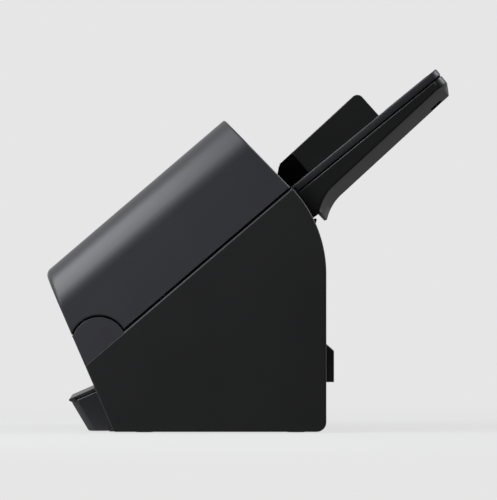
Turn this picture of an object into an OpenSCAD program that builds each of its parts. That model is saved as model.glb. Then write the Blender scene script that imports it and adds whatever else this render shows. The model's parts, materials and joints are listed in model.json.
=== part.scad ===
// Desktop document scanner with a forward-opening cover, a clip-on input tray
// with coupled side guides, and a two-stage output tray. Millimetres.
// +Z is up, the front faces -X and the operator's right-hand side is -Y.
// The origin is under the middle of the whole object, on the table.

/* [Body] */
// Width of the body beyond the widest paper, on each side
side_spare = 48; // [46:0.5:54]
// Height at which the straight back starts to curve forward
back_straight_h = 116; // [112:0.5:120]
// Radius of the curved top of the back
back_r = 92; // [89:0.5:95]
// Radius of the lower rear corner
heel_r = 7; // [4:0.5:9]
// Radius of the lower front corner
toe_r = 4; // [2:0.5:5]
// Depth of each side cover across the body
side_depth = 13; // [12:0.5:15]
// Wall thickness of the plastic shells
wall = 2.4; // [2:0.1:2.8]
// Height of the covers above the table
ground_gap = 0.8; // [0.6:0.1:1.2]

/* [Paper path and hinge] */
// Slope of the paper path above the table, in degrees
path_angle = 40.5; // [39.5:0.25:41.5]
// Distance from the rear face forward to the hinge axis
hinge_back = 165.9; // [163:0.1:169]
// Height of the hinge axis above the table
hinge_h = 64.5; // [63:0.1:67]
// Height of the hinge axis above the paper path
hinge_rise = 3.8; // [3.4:0.1:4.4]
// Radius of the barrel that the cover turns round
barrel_r = 20.1; // [19:0.1:21]
// Distance from the hinge axis to the front face
front_reach = 15.6; // [15:0.1:16.2]
// Lean of the front face from upright, in degrees
front_lean = 23.4; // [22.5:0.1:24.5]
// Gap along the seam between the base and the cover
seam_gap = 1.2; // [1:0.1:1.5]

/* [Cover] */
// Height of the cover's top face above the paper path
cover_h = 69.5; // [67:0.5:73]
// Radius along the two long upper edges of the cover
cover_edge_r = 28; // [22:1:32]
// Radius of the cover's nose, between its top and front faces
nose_r = 6; // [4:0.5:8]
// Forward tilt of the cover's rear end, in degrees
end_tilt = 3.7; // [2.5:0.1:5]

/* [Paper] */
// Widest paper that the side guides take
paper_w = 216; // [210:0.5:217]
// Travel of each side guide towards the middle
guide_travel = 80; // [60:1:82]

/* [Input tray] */
// Slope of the input tray above the table, in degrees
tray_angle = 39.25; // [38.5:0.25:40]
// Length of the input tray along its slope
tray_len = 136; // [130:1:142]
// Thickness of the tray plate
plate_t = 5.6; // [5:0.1:6.2]
// Height of the side guides above the tray at their outer end
guide_h = 23.2; // [20:0.2:26]
// Travel of the tray extension
extension_travel = 70; // [50:1:74]

/* [Output tray] */
// How far the closed output tray stands out of the front face
stub_reach = 22; // [20:0.5:23]
// Height at which its top meets the front face
stub_h = 32.6; // [31:0.2:34]
// Lean of its front face from upright, in degrees
stub_lean = 30.8; // [28:0.2:33]
// How far the output tray stands in from each side of the body
output_in = 38; // [36:0.5:42]

/* [Hidden] */

// Finishes
satin_grey = [0.20, 0.20, 0.215];
matt_black = [0.11, 0.11, 0.11];
deep_black = [0.05, 0.05, 0.05];
tray_grey = [0.17, 0.165, 0.175];
steel = [0.62, 0.63, 0.65];
rubber_grey = [0.16, 0.16, 0.17];
tyre_grey = [0.30, 0.31, 0.33];
acetal_white = [0.85, 0.85, 0.82];
board_green = [0.08, 0.30, 0.16];
glass_tint = [0.55, 0.65, 0.66, 0.6];
nickel = [0.70, 0.69, 0.66];
key_green = [0.15, 0.45, 0.25];

$fn = 64;
cut = 0.5;          // overrun of cutting shapes
fit = 0.4;          // slack between parts that slide or drop in
seat = 0.3;         // slack between a part and what carries it
running = 0.04;     // radial clearance of a shaft in its bearing
pin_fit = 0.02;     // radial clearance of a fixed pin in its hole
corner_steps = 6;   // segments in a rounded corner
arc_steps = 14;     // segments in a long curve
sharp_r = 0.5;      // smallest radius left on an inner corner

// Layout across the body, from the middle outwards
body_w = paper_w + 2 * side_spare;
half_w = body_w / 2;
output_w = body_w - 2 * output_in;
side_in = half_w - side_depth;
arm_gap = 2;
arm_t = 8;
arm_out = side_in - arm_gap;
arm_in = arm_out - arm_t;
frame_t = 1.5;
frame_gap = 1;
frame_out = arm_in - frame_gap;
frame_in = frame_out - frame_t;
guide_half = frame_in - fit;

// Outline geometry, relative to the hinge axis until hinge_x is known
lean = path_angle - front_lean;
seam_low = -seam_gap / 2;
seam_high = seam_gap / 2;
back_centre_rel = [hinge_back - back_r, back_straight_h - hinge_h];
function turned(p) = [p[0] * cos(path_angle) - (p[1] - hinge_rise) * sin(path_angle),
    p[0] * sin(path_angle) + (p[1] - hinge_rise) * cos(path_angle)];
function unturned(q) = [q[0] * cos(path_angle) + q[1] * sin(path_angle),
    q[1] * cos(path_angle) - q[0] * sin(path_angle) + hinge_rise];
function front_s(n, inset = 0) =
    ((n - hinge_rise) * sin(lean) - front_reach + inset) / cos(lean);
function unit(v) = v / norm(v);
function arc(c, r, a0, a1, steps) =
    [for (i = [0:steps]) c + r * [cos(a0 + (a1 - a0) * i / steps), sin(a0 + (a1 - a0) * i / steps)]];
function swing(a) = a > 180 ? a - 360 : a < -180 ? a + 360 : a;
// Points of a fillet of radius r at corner b of the path a-b-c
function corner(a, b, c, r) = let (u = unit(a - b), v = unit(c - b), half = acos(u * v) / 2,
    m = b + unit(u + v) * r / sin(half), p = b + u * r / tan(half), q = b + v * r / tan(half),
    a0 = atan2(p[1] - m[1], p[0] - m[0]), turn = swing(atan2(q[1] - m[1], q[0] - m[0]) - a0))
    arc(m, r, a0, a0 + turn, corner_steps);

// Where the seam meets the curved back, measured along the paper path
back_centre_path = unturned(back_centre_rel);
function seam_end(n, inset = 0) = back_centre_path[0]
    + sqrt(pow(back_r - inset, 2) - pow(n - back_centre_path[1], 2));
path_end = seam_end(seam_low);

// Cover outline in path coordinates: [along the path, above the path]
end_gap_share = 0.7;
cover_end = path_end - end_gap_share * seam_gap;
barrel_gap = 1.2;
sweep_r = barrel_r + barrel_gap;
function end_s(n, inset = 0) = cover_end - (n - seam_high) * tan(end_tilt) - inset / cos(end_tilt);
function cover_outline(inset, floor_n) = let (top = cover_h - inset, r = max(nose_r - inset, sharp_r),
    a = [end_s(top, inset), top], b = [front_s(top, inset), top],
    c = [front_s(hinge_rise, inset), hinge_rise], reach = sweep_r + inset,
    chord = sqrt(reach * reach - pow(front_reach - inset, 2)),
    tip = 180 - lean - atan(chord / (front_reach - inset)),
    foot = asin((floor_n - hinge_rise) / reach))
    concat([[end_s(floor_n, inset), floor_n], a], corner(a, b, c, r),
        arc([0, hinge_rise], reach, tip, foot, arc_steps));

// Input tray outline in tray coordinates: [up the tray, above its face]
tray_gap = 1.3;
tray_drop = 0.3;
tongue_len = 16;
tongue_drop = 1.2;
tray_origin_rel = turned([path_end + tray_gap, tray_drop]);
function tray_turned(p) = tray_origin_rel + [p[0] * cos(tray_angle) - p[1] * sin(tray_angle),
    p[0] * sin(tray_angle) + p[1] * cos(tray_angle)];
shadow_gap = 1.4;
housing_top = -plate_t - shadow_gap;
lip_depth = 13.2;
end_depth = 21.4;
root_depth = 28.2;
end_slope = 5;
tail_drop = 7;
tail_t = 5.4;
tail_lean = 35.2;
root_up = 14.3;
under_r = 35;
tail_out = [root_up - tail_drop * tan(tail_lean) - tail_t, -root_depth - tail_drop];
housing_start = 1;
root_seat = 0.5;
function housing_outline() = let (end_top = [tray_len, housing_top], lip = [tray_len, -lip_depth],
    heel = [tray_len - end_slope, -end_depth], bend = [root_up, -root_depth])
    concat([[housing_start, housing_top], end_top, lip, heel], corner(heel, bend, tail_out, under_r),
        [tail_out, tail_out + [-sharp_r, tail_drop], [housing_start - tail_t, root_seat - root_depth]]);

// Place of the hinge axis that centres the object on the origin
rel_xs = concat([for (p = cover_outline(0, seam_high)) turned(p)[0]],
    [for (p = housing_outline()) tray_turned(p)[0]]);
hinge_x = -(min(rel_xs) + max(rel_xs)) / 2;
rear_x = hinge_x + hinge_back;
function front_x(z, inset = 0) =
    hinge_x - (front_reach - inset + (z - hinge_h) * sin(front_lean)) / cos(front_lean);
function row_of(p) = [hinge_x, hinge_h] + turned(p);
function row_of_tray(p) = [hinge_x, hinge_h] + tray_turned(p);

// Outline of the base seen from the side, [x, z]
function base_outline(inset, seam_inset) = let (z0 = ground_gap + inset, n = seam_low - seam_inset,
    r = back_r - inset, centre = [rear_x - back_r, back_straight_h],
    front_low = [front_x(z0, inset), z0], front_top = row_of([front_s(n, inset), n]),
    rear_low = [rear_x - inset, z0], rear_up = [rear_x - inset, back_straight_h],
    back_top = row_of([seam_end(n, inset), n]) - centre)
    concat(corner(front_top, front_low, rear_low, max(toe_r - inset, sharp_r)),
        corner(front_low, rear_low, rear_up, max(heel_r - inset, sharp_r)),
        arc(centre, r, 0, atan2(back_top[1], back_top[0]), arc_steps), [front_top]);

// Placing frames and basic shapes
module in_path() {
    translate([hinge_x, 0, hinge_h]) rotate([0, -path_angle, 0]) translate([0, 0, -hinge_rise]) children();
}
module in_tray() {
    translate([hinge_x + tray_origin_rel[0], 0, hinge_h + tray_origin_rel[1]])
        rotate([0, -tray_angle, 0]) children();
}
module in_front() {
    translate([front_x(stub_h), 0, stub_h]) rotate([0, -front_lean, 0]) children();
}
module across(y0, y1) {
    translate([0, y1, 0]) rotate([90, 0, 0]) linear_extrude(height = y1 - y0) children();
}
module lengthwise(x0, x1) {
    translate([x0, 0, 0]) rotate([90, 0, 90]) linear_extrude(height = x1 - x0) children();
}
module rod(y0, y1, r) {
    translate([0, y0, 0]) rotate([-90, 0, 0]) cylinder(h = y1 - y0, r = r);
}
module box(x0, x1, y0, y1, z0, z1) {
    translate([x0, y0, z0]) cube([x1 - x0, y1 - y0, z1 - z0]);
}
module both_sides() {
    children();
    mirror([0, 1, 0]) children();
}

// Side covers, with the bosses that the side frames are screwed to
boss_r = 4;
boss_in = 18;
screw_r = 1.5;
screw_len = 6;
screw_head_r = 2.8;
screw_head_h = 1.6;
path_boss_share = 0.40;
path_boss_drop = 28;
boss_places = [[rear_x - boss_in, ground_gap + boss_in], [rear_x - boss_in, back_straight_h],
    [front_x(ground_gap) + boss_in, ground_gap + boss_in],
    row_of([path_boss_share * path_end, -path_boss_drop])];
module side_cover() {
    difference() {
        across(side_in, half_w) polygon(base_outline(0, 0));
        across(side_in - cut, half_w - wall) polygon(base_outline(wall, wall));
    }
    for (p = boss_places) translate([p[0], 0, p[1]]) difference() {
        rod(frame_out, half_w - wall / 2, boss_r);
        rod(frame_out - cut, frame_out + screw_len + cut, screw_r + pin_fit);
    }
}
module right_side_cover() { color(matt_black) mirror([0, 1, 0]) side_cover(); }
module left_side_cover() { color(matt_black) side_cover(); }

// Hinge caps: the ends of the barrel, flush with the side covers
pin_r = 2.5;
cap_boss_r = 6;
pin_end = 4;
module barrel_section(inset, n0) {
    span = sweep_r + hinge_rise;
    translate([0, hinge_rise]) intersection() {
        circle(r = barrel_r - inset);
        translate([0, -hinge_rise]) polygon([[front_s(n0, inset), n0], [span, n0], [span, span],
            [front_s(span, inset), span]]);
    }
}
module hinge_cap() {
    in_path() difference() {
        across(side_in, half_w) barrel_section(0, seam_low);
        across(side_in - cut, half_w - wall) difference() {
            barrel_section(wall, seam_low + wall);
            translate([0, hinge_rise]) circle(r = cap_boss_r);
        }
        translate([0, 0, hinge_rise]) rod(side_in - cut, half_w - pin_end, pin_r + pin_fit);
    }
}
module right_hinge_cap() { color(satin_grey) mirror([0, 1, 0]) hinge_cap(); }
module left_hinge_cap() { color(satin_grey) hinge_cap(); }
module hinge_pins() {
    color(steel) both_sides() in_path() translate([0, 0, hinge_rise])
        rod(frame_in, half_w - pin_end - seat, pin_r);
}

// Exit cover: the barrel between the side frames, above the paper exit
exit_mouth = 9;
exit_wall = 2;
module exit_cover() {
    color(satin_grey) in_path() across(-guide_half, guide_half) difference() {
        exit_section(0);
        exit_section(exit_wall);
    }
}
module exit_section(inset) {
    mouth = [front_s(exit_mouth, 0), exit_mouth];
    difference() {
        barrel_section(inset, seam_high + inset);
        polygon([[front_s(seam_high) - cut, seam_high - cut], [0, seam_high - cut], [0, seam_high + inset],
            mouth + [inset, inset], mouth + [-cut, inset]]);
    }
}

// Rear cover: straight back panel that follows the curve up to the tray's ledge
rear_recess = 1;
rear_top_angle = 25;
ledge_out = 3;
ledge_drop = 5;
post_r = 2.5;
board_gap = 7;
board_low = 22;
board_h = 76;
board_half = 92;
post_in = 6;
seam_point = row_of([path_end, seam_low]);
seam_turn = atan2(seam_point[1] - back_straight_h, seam_point[0] - rear_x + back_r);
module back_band(inset, thickness) {
    polygon(concat([[rear_x - inset, ground_gap + wall + fit]], band_arc(back_r - inset, 0, rear_top_angle),
        band_arc(back_r - inset - thickness, rear_top_angle, 0),
        [[rear_x - inset - thickness, ground_gap + wall + fit]]));
}
function band_arc(r, a0, a1) = arc([rear_x - back_r, back_straight_h], r, a0, a1, arc_steps);
module cheek_band(inset, thickness) {
    polygon(concat(band_arc(back_r - inset, rear_top_angle / 2, seam_turn),
        band_arc(back_r - inset - thickness, seam_turn, rear_top_angle / 2)));
}
module rear_ledge() {
    across(-guide_half, guide_half) translate([rear_x - back_r, back_straight_h]) rotate(rear_top_angle)
        polygon([[back_r - rear_recess - wall, 0], [back_r - rear_recess - wall, wall],
            [back_r + ledge_out - rear_recess, wall / 2], [back_r + ledge_out - rear_recess, 0],
            [back_r - rear_recess - wall / 2, -ledge_drop]]);
}
port_z = 50;
usb_y = -16;
jack_y = 16;
port_half = 7.5;
module rear_cover() {
    color(deep_black) {
        difference() {
            across(fit - side_in, side_in - fit) back_band(rear_recess, wall);
            for (y = [usb_y, jack_y]) box(rear_x - rear_recess - wall - cut, rear_x, y - port_half,
                y + port_half, port_z - port_half, port_z + port_half);
        }
        rear_ledge();
        both_sides() across(frame_out + frame_gap, side_in - fit) cheek_band(rear_recess, wall);
        for (y = [-1, 1]) for (z = [board_low + post_in, board_low + board_h - post_in])
            translate([rear_x - rear_recess - wall - board_gap, y * (board_half - post_in), z])
                rotate([0, 90, 0]) cylinder(h = board_gap + wall / 2, r = post_r);
    }
}

// Connector block on the back, with the power and data sockets
block_out = 6.6;
block_low = 35.5;
block_high = 64.5;
block_half = 45;
block_slope = 5.8;
module connector_block() {
    color(deep_black) difference() {
        across(-block_half, block_half) polygon([[rear_x - rear_recess, block_low],
            [rear_x + block_out, block_low], [rear_x + block_out, block_high - block_slope],
            [rear_x, block_high], [rear_x - rear_recess, block_high]]);
        for (y = [usb_y, jack_y]) box(rear_x - rear_recess - cut, rear_x + block_out + cut,
            y - port_half, y + port_half, port_z - port_half, port_z + port_half);
    }
}
port_back = 1.5;
port_shell = port_half - fit;
board_x = rear_x - rear_recess - wall - board_gap;
usb_w = 9;
usb_hollow_h = 8.2;
usb_depth = 11;
jack_hole_r = 3;
jack_pin_r = 1;
jack_depth = 9;
module port_body(y) {
    box(board_x, rear_x + block_out - port_back, y - port_shell, y + port_shell,
        port_z - port_shell, port_z + port_shell);
}
module usb_port() {
    face = rear_x + block_out - port_back;
    color(nickel) difference() {
        port_body(usb_y);
        box(face - usb_depth, face + cut, usb_y - usb_w / 2, usb_y + usb_w / 2,
            port_z - usb_hollow_h / 2, port_z + usb_hollow_h / 2);
    }
}
module dc_jack() {
    face = rear_x + block_out - port_back;
    color(deep_black) {
        difference() {
            port_body(jack_y);
            translate([face - jack_depth, jack_y, port_z]) rotate([0, 90, 0])
                cylinder(h = jack_depth + cut, r = jack_hole_r);
        }
        translate([face - jack_depth - wall, jack_y, port_z]) rotate([0, 90, 0])
            cylinder(h = jack_depth + wall - port_back, r = jack_pin_r);
    }
}
board_t = 1.6;
chip_t = 2.2;
chip_w = 18;
chip_pitch = 42;
connector_t = 6;
module main_board() {
    color(board_green) {
        box(board_x - board_t, board_x, -board_half, board_half, board_low, board_low + board_h);
        for (i = [-1:1]) box(board_x - board_t - chip_t, board_x - board_t / 2,
            i * chip_pitch - chip_w / 2, i * chip_pitch + chip_w / 2,
            board_low + board_h / 2, board_low + board_h / 2 + chip_w);
        box(board_x - board_t - connector_t, board_x - board_t / 2, -chip_pitch, chip_pitch,
            board_low + post_in, board_low + post_in + connector_t);
    }
}

// Front panel below the paper exit
panel_set = 3;
panel_clear = 1.2;
module front_panel() {
    low = panel_clear;
    high_n = seam_low - guide_t - fit;
    top = row_of([front_s(high_n, panel_set), high_n]);
    top_in = row_of([front_s(high_n, panel_set + wall), high_n]);
    start = [front_x(stub_h), stub_h];
    up = [-sin(front_lean), cos(front_lean)];
    inward = [cos(front_lean), sin(front_lean)];
    color(matt_black) across(fit - side_in, side_in - fit) polygon([start + low * up + panel_set * inward,
        start + low * up + (panel_set + wall) * inward, top_in, top]);
}

// Steel side frames carrying the hinge pins, rollers and motor
frame_inset = 6;
hinge_tab_r = 8;
bush_r = 5;
foot_w = 30;
foot_share = 0.22;
window_r = 13;
window_drop = 46;
window_places_share = [0.30, 0.80];
motor_up = 55;
motor_in = 50;
motor_r = 21;
motor_len = 34;
motor_shaft_r = 2.5;
motor_collar_r = 6;
module side_frame(with_motor) {
    difference() {
        union() {
            across(frame_in, frame_out) polygon(base_outline(frame_inset, fit));
            in_path() translate([0, 0, hinge_rise]) rod(frame_in, frame_out, hinge_tab_r);
            in_path() box(-hinge_tab_r, hinge_tab_r, frame_in, frame_out, seam_low - 2 * frame_inset,
                hinge_rise);
            for (k = [foot_share, 1 - foot_share]) box(rear_x - k * hinge_back - foot_w / 2,
                rear_x - k * hinge_back + foot_w / 2, frame_in, frame_out, ground_gap + wall,
                ground_gap + 2 * frame_inset);
        }
        in_path() translate([0, 0, hinge_rise]) rod(frame_in - cut, frame_out + cut, pin_r + pin_fit);
        for (r = lower_rollers) in_path() translate([r[0], 0, -r[1]])
            rod(frame_in - cut, frame_out + cut, bush_r + pin_fit);
        in_path() translate([keeper_s, 0, -keeper_drop])
            rod(frame_in - cut, frame_out + cut, keeper_r + pin_fit);
        for (p = boss_places) translate([p[0], 0, p[1]])
            rod(frame_in - cut, frame_out + cut, screw_r + running);
        for (p = tie_places) translate([p[0], 0, p[1]])
            rod(frame_in - cut, frame_out + cut, tie_r + pin_fit);
        for (k = window_places_share) in_path() translate([k * path_end, 0, -window_drop])
            rod(frame_in - cut, frame_out + cut, window_r);
        in_tray() translate([-tray_pin_in, 0, -plate_t / 2])
            rod(frame_in - cut, frame_out + cut, tray_pin_r + pin_fit);
        if (with_motor) translate([rear_x - motor_in, 0, motor_up])
            rod(frame_in - cut, frame_out + cut, motor_collar_r);
    }
}
module right_side_frame() { color(steel) mirror([0, 1, 0]) side_frame(false); }
module left_side_frame() { color(steel) side_frame(true); }
tie_r = 3;
tie_head_r = 4.5;
tie_low = 30;
tie_high = 92;
tie_shares = [0.55, 0.3];
tie_places = [[rear_x - tie_shares[0] * hinge_back, tie_low],
    [rear_x - tie_shares[1] * hinge_back, tie_high]];
module tie_bars() {
    color(steel) for (p = tie_places) translate([p[0], 0, p[1]]) {
        rod(-frame_out - fit, frame_out + fit, tie_r);
        both_sides() rod(frame_out, frame_out + frame_t / 2, tie_head_r);
        rod(-frame_in + fit, frame_in - fit, tie_head_r);
    }
}
module side_cover_screws() {
    color(steel) both_sides() for (p = boss_places) translate([p[0], 0, p[1]]) {
        rod(frame_in - cut, frame_out + screw_len, screw_r);
        rod(frame_in - screw_head_h, frame_in, screw_head_r);
    }
}

// Base pan with the rails of the output tray, and its rubber feet
pan_set = 5;
rail_t = 2.5;
rail_h = 9;
foot_r = 7;
foot_sink = 1.2;
foot_inset = 22;
foot_places = [for (x = [front_x(ground_gap) + foot_inset, rear_x - foot_inset])
    for (y = [foot_inset - side_in, side_in - foot_inset]) [x, y]];
tray1_half = output_w / 2 - rail_t - 2 * fit;
module base_pan() {
    front = front_x(ground_gap) + pan_set;
    rear = rear_x - heel_r;
    color(matt_black) {
        difference() {
            box(front, rear, fit - side_in, side_in - fit, ground_gap, ground_gap + wall);
            for (p = foot_places) translate([p[0], p[1], ground_gap - cut])
                cylinder(h = foot_sink + cut, r = foot_r + pin_fit);
        }
        both_sides() box(front, rear, tray1_half + fit, tray1_half + fit + rail_t,
            ground_gap + wall / 2, ground_gap + wall + rail_h);
        box(rear - rail_t, rear, -tray1_half, tray1_half, ground_gap + wall / 2, ground_gap + wall + rail_h);
    }
}
module rubber_feet() {
    color(rubber_grey) for (p = foot_places) translate([p[0], p[1], 0])
        cylinder(h = ground_gap + foot_sink, r = foot_r);
}

// Paper path: lower guide, cameras and roller places, [along the path, radius]
guide_t = 2.5;
flange_h = 14;
drive_r = 8;
feed_r = 12;
front_drive_share = 0.22;
rear_drive_share = 0.573;
feed_share = 0.76;
front_drive_s = front_drive_share * path_end;
rear_drive_s = rear_drive_share * path_end;
feed_s = feed_share * path_end;
lower_rollers = [[front_drive_s, drive_r], [rear_drive_s, drive_r], [feed_s, feed_r]];
nip = 0.2;
tyre_w = 14;
tyre_shares = [-0.74, -0.28, 0.28, 0.74];
tyre_ys = [for (k = tyre_shares) k * paper_w / 2];
feed_tyre_w = 20;
feed_ys = [-16, 16];
window_slack = 1.6;
guide_end = path_end + tray_gap - tongue_len - fit;
exit_lip_in = 0.6;
glass_t = 2;
glass_half_s = 9;
glass_over = 5;
glass_half_y = paper_w / 2 + glass_over;
glass_sink = 0.2;
lower_glass_share = 0.44;
upper_glass_share = 0.34;
lower_glass_s = lower_glass_share * path_end;
upper_glass_s = upper_glass_share * path_end;
camera_half_s = 12;
camera_depth = 30;
camera_end = 3;
function tyre_list(s) = s == feed_s ? feed_ys : tyre_ys;
module lower_paper_guide() {
    start = front_s(seam_low, exit_lip_in);
    low_start = front_s(seam_low - guide_t, exit_lip_in);
    color(matt_black) in_path() difference() {
        union() {
            across(-guide_half, guide_half) polygon([[start, seam_low], [guide_end, seam_low],
                [guide_end, seam_low - guide_t], [low_start, seam_low - guide_t]]);
            both_sides() box(low_start + hinge_tab_r, guide_end - wall, guide_half - wall, guide_half,
                seam_low - flange_h, seam_low - guide_t / 2);
        }
        for (r = lower_rollers) for (y = tyre_list(r[0])) let (w = r[0] == feed_s ? feed_tyre_w : tyre_w)
            box(r[0] - r[1], r[0] + r[1], y - w / 2 - window_slack, y + w / 2 + window_slack,
                seam_low - guide_t - cut, seam_low + cut);
        for (r = lower_rollers) translate([r[0], 0, -r[1]])
            rod(-guide_half - cut, guide_half + cut, bush_r + fit);
        box(lower_glass_s - glass_half_s - fit, lower_glass_s + glass_half_s + fit,
            -glass_half_y - fit, glass_half_y + fit, seam_low - guide_t - cut, seam_low + cut);
    }
}
module camera_body() {
    // Camera bar seen in section: window neck on a deeper housing
    box(-camera_half_s, camera_half_s, -glass_half_y - camera_end, glass_half_y + camera_end,
        -seam_high - guide_t - seat - camera_depth, -seam_high - guide_t - seat);
    box(-glass_half_s, glass_half_s, -glass_half_y, glass_half_y,
        -seam_high - guide_t - 2 * seat, -seam_high - glass_sink - glass_t);
}
module lower_camera() { color(deep_black) in_path() translate([lower_glass_s, 0, 0]) camera_body(); }
module glass_plate() {
    box(-glass_half_s, glass_half_s, -glass_half_y, glass_half_y,
        -seam_high - glass_sink - glass_t, -seam_high - glass_sink);
}
module lower_glass() { color(glass_tint) in_path() translate([lower_glass_s, 0, 0]) glass_plate(); }
bush_len = 3;
shaft_r = 3;
module roller_bushes() {
    color(acetal_white) both_sides() in_path() for (r = lower_rollers) translate([r[0], 0, -r[1]])
        difference() {
            rod(frame_out - bush_len, frame_out, bush_r);
            rod(frame_out - bush_len - cut, frame_out + cut, shaft_r + running);
        }
}

// Driven rollers: shafts with pulleys, and their rubber tyres
layer_t = 3;
layer_gap = 0.35;
layer_clear = 0.8;
layer_start = frame_out + layer_clear;
pulley_r = 6.6;
flange_r = 7.6;
belt_t = 1.2;
belt_slack = 0.1;
motor_pulley_r = 4.7;
module shaft_with_pulley(y_end) {
    rod(-frame_out - seat, y_end, shaft_r);
    rod(layer_start, y_end, pulley_r);
    rod(layer_start - layer_gap, layer_start, flange_r);
}
function layer_y(i) = layer_start + i * (layer_t + layer_gap);
module at_roller(s, r) { in_path() translate([s, 0, -r]) children(); }
module feed_shaft() {
    color(steel) at_roller(feed_s, feed_r) shaft_with_pulley(layer_y(2) + layer_t);
}
module rear_drive_shaft() {
    color(steel) at_roller(rear_drive_s, drive_r) shaft_with_pulley(layer_y(2) + layer_t);
}
module front_drive_shaft() {
    color(steel) at_roller(front_drive_s, drive_r) shaft_with_pulley(layer_y(2) + layer_t);
}
module tyres(r, w, places, bore) {
    for (y = places) difference() {
        translate([0, y, 0]) rod(-w / 2, w / 2, r);
        translate([0, y, 0]) rod(-w / 2 - cut, w / 2 + cut, bore);
    }
}
module feed_tyres() {
    color(tyre_grey) at_roller(feed_s, feed_r) tyres(feed_r, feed_tyre_w, feed_ys, shaft_r);
}
module rear_drive_tyres() {
    color(tyre_grey) at_roller(rear_drive_s, drive_r) tyres(drive_r, tyre_w, tyre_ys, shaft_r);
}
module front_drive_tyres() {
    color(tyre_grey) at_roller(front_drive_s, drive_r) tyres(drive_r, tyre_w, tyre_ys, shaft_r);
}

// Motor behind the left frame, and the toothed belts outside it
module motor_body() {
    color(steel) translate([rear_x - motor_in, 0, motor_up]) {
        rod(frame_in - motor_len, frame_in - seat, motor_r);
        difference() {
            rod(frame_in - wall, frame_out - seat, motor_collar_r - seat);
            rod(frame_in - wall - cut, frame_out + cut, motor_shaft_r + running + seat);
        }
    }
}
module motor_pulley() {
    color(steel) translate([rear_x - motor_in, 0, motor_up]) {
        rod(frame_in - seat + pin_fit, layer_y(0) + layer_t, motor_shaft_r);
        rod(layer_y(0), layer_y(0) + layer_t, motor_pulley_r);
    }
}
function roller_at(s, r) = row_of([s, -r]);
module belt_ring(a, ra, b, rb) {
    difference() {
        hull() {
            translate(a) circle(r = ra + belt_t + belt_slack, $fn = 32);
            translate(b) circle(r = rb + belt_t + belt_slack, $fn = 32);
        }
        hull() {
            translate(a) circle(r = ra + belt_slack, $fn = 32);
            translate(b) circle(r = rb + belt_slack, $fn = 32);
        }
    }
}
module drive_belts() {
    front = roller_at(front_drive_s, drive_r);
    rear = roller_at(rear_drive_s, drive_r);
    feed = roller_at(feed_s, feed_r);
    color(deep_black) {
        across(layer_y(0), layer_y(0) + layer_t)
            belt_ring([rear_x - motor_in, motor_up], motor_pulley_r, rear, pulley_r);
        across(layer_y(1), layer_y(1) + layer_t) belt_ring(front, pulley_r, rear, pulley_r);
        across(layer_y(2), layer_y(2) + layer_t) belt_ring(rear, pulley_r, feed, pulley_r);
    }
}

// Cover shell
front_slot = 1;
throat_high = 26;
throat_in = 6;
throat_half = guide_half - throat_in;
pull_half = 24;
pull_high = 64;
module cover_section(inset) {
    r = max(cover_edge_r - inset, sharp_r);
    w = half_w - inset;
    top = cover_h - inset;
    translate([-w, 0]) square([2 * w, top - r]);
    translate([r - w, 0]) square([2 * (w - r), top]);
    for (y = [r - w, w - r]) translate([y, top - r]) circle(r = r, $fn = 2 * $fn);
}
module cover_solid(inset, floor_n) {
    s0 = front_s(seam_high) - sweep_r;
    intersection() {
        across(inset - half_w, half_w - inset) polygon(cover_outline(inset, floor_n));
        lengthwise(s0, path_end + sweep_r) cover_section(inset);
    }
}
module cover_shell() {
    color(satin_grey) in_path() difference() {
        cover_solid(0, seam_high);
        cover_solid(wall, seam_high - cut);
        both_sides() box(-arm_neck / 2 - front_slot, arm_neck / 2 + front_slot, arm_in - front_slot,
            arm_out + front_slot, sweep_r - hinge_rise, sweep_r + hinge_rise + 2 * wall);
        box(end_s(0) - 3 * wall, path_end + cut, -throat_half, throat_half, seam_high - cut, throat_high);
        box(end_s(pull_high) - 2 * wall, path_end + cut, -pull_half, pull_half, throat_high - cut, pull_high);
        box(panel_s - panel_len / 2, panel_s + panel_len / 2, -panel_half, panel_half,
            cover_h - wall - cut, cover_h + cut);
    }
}

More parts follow.
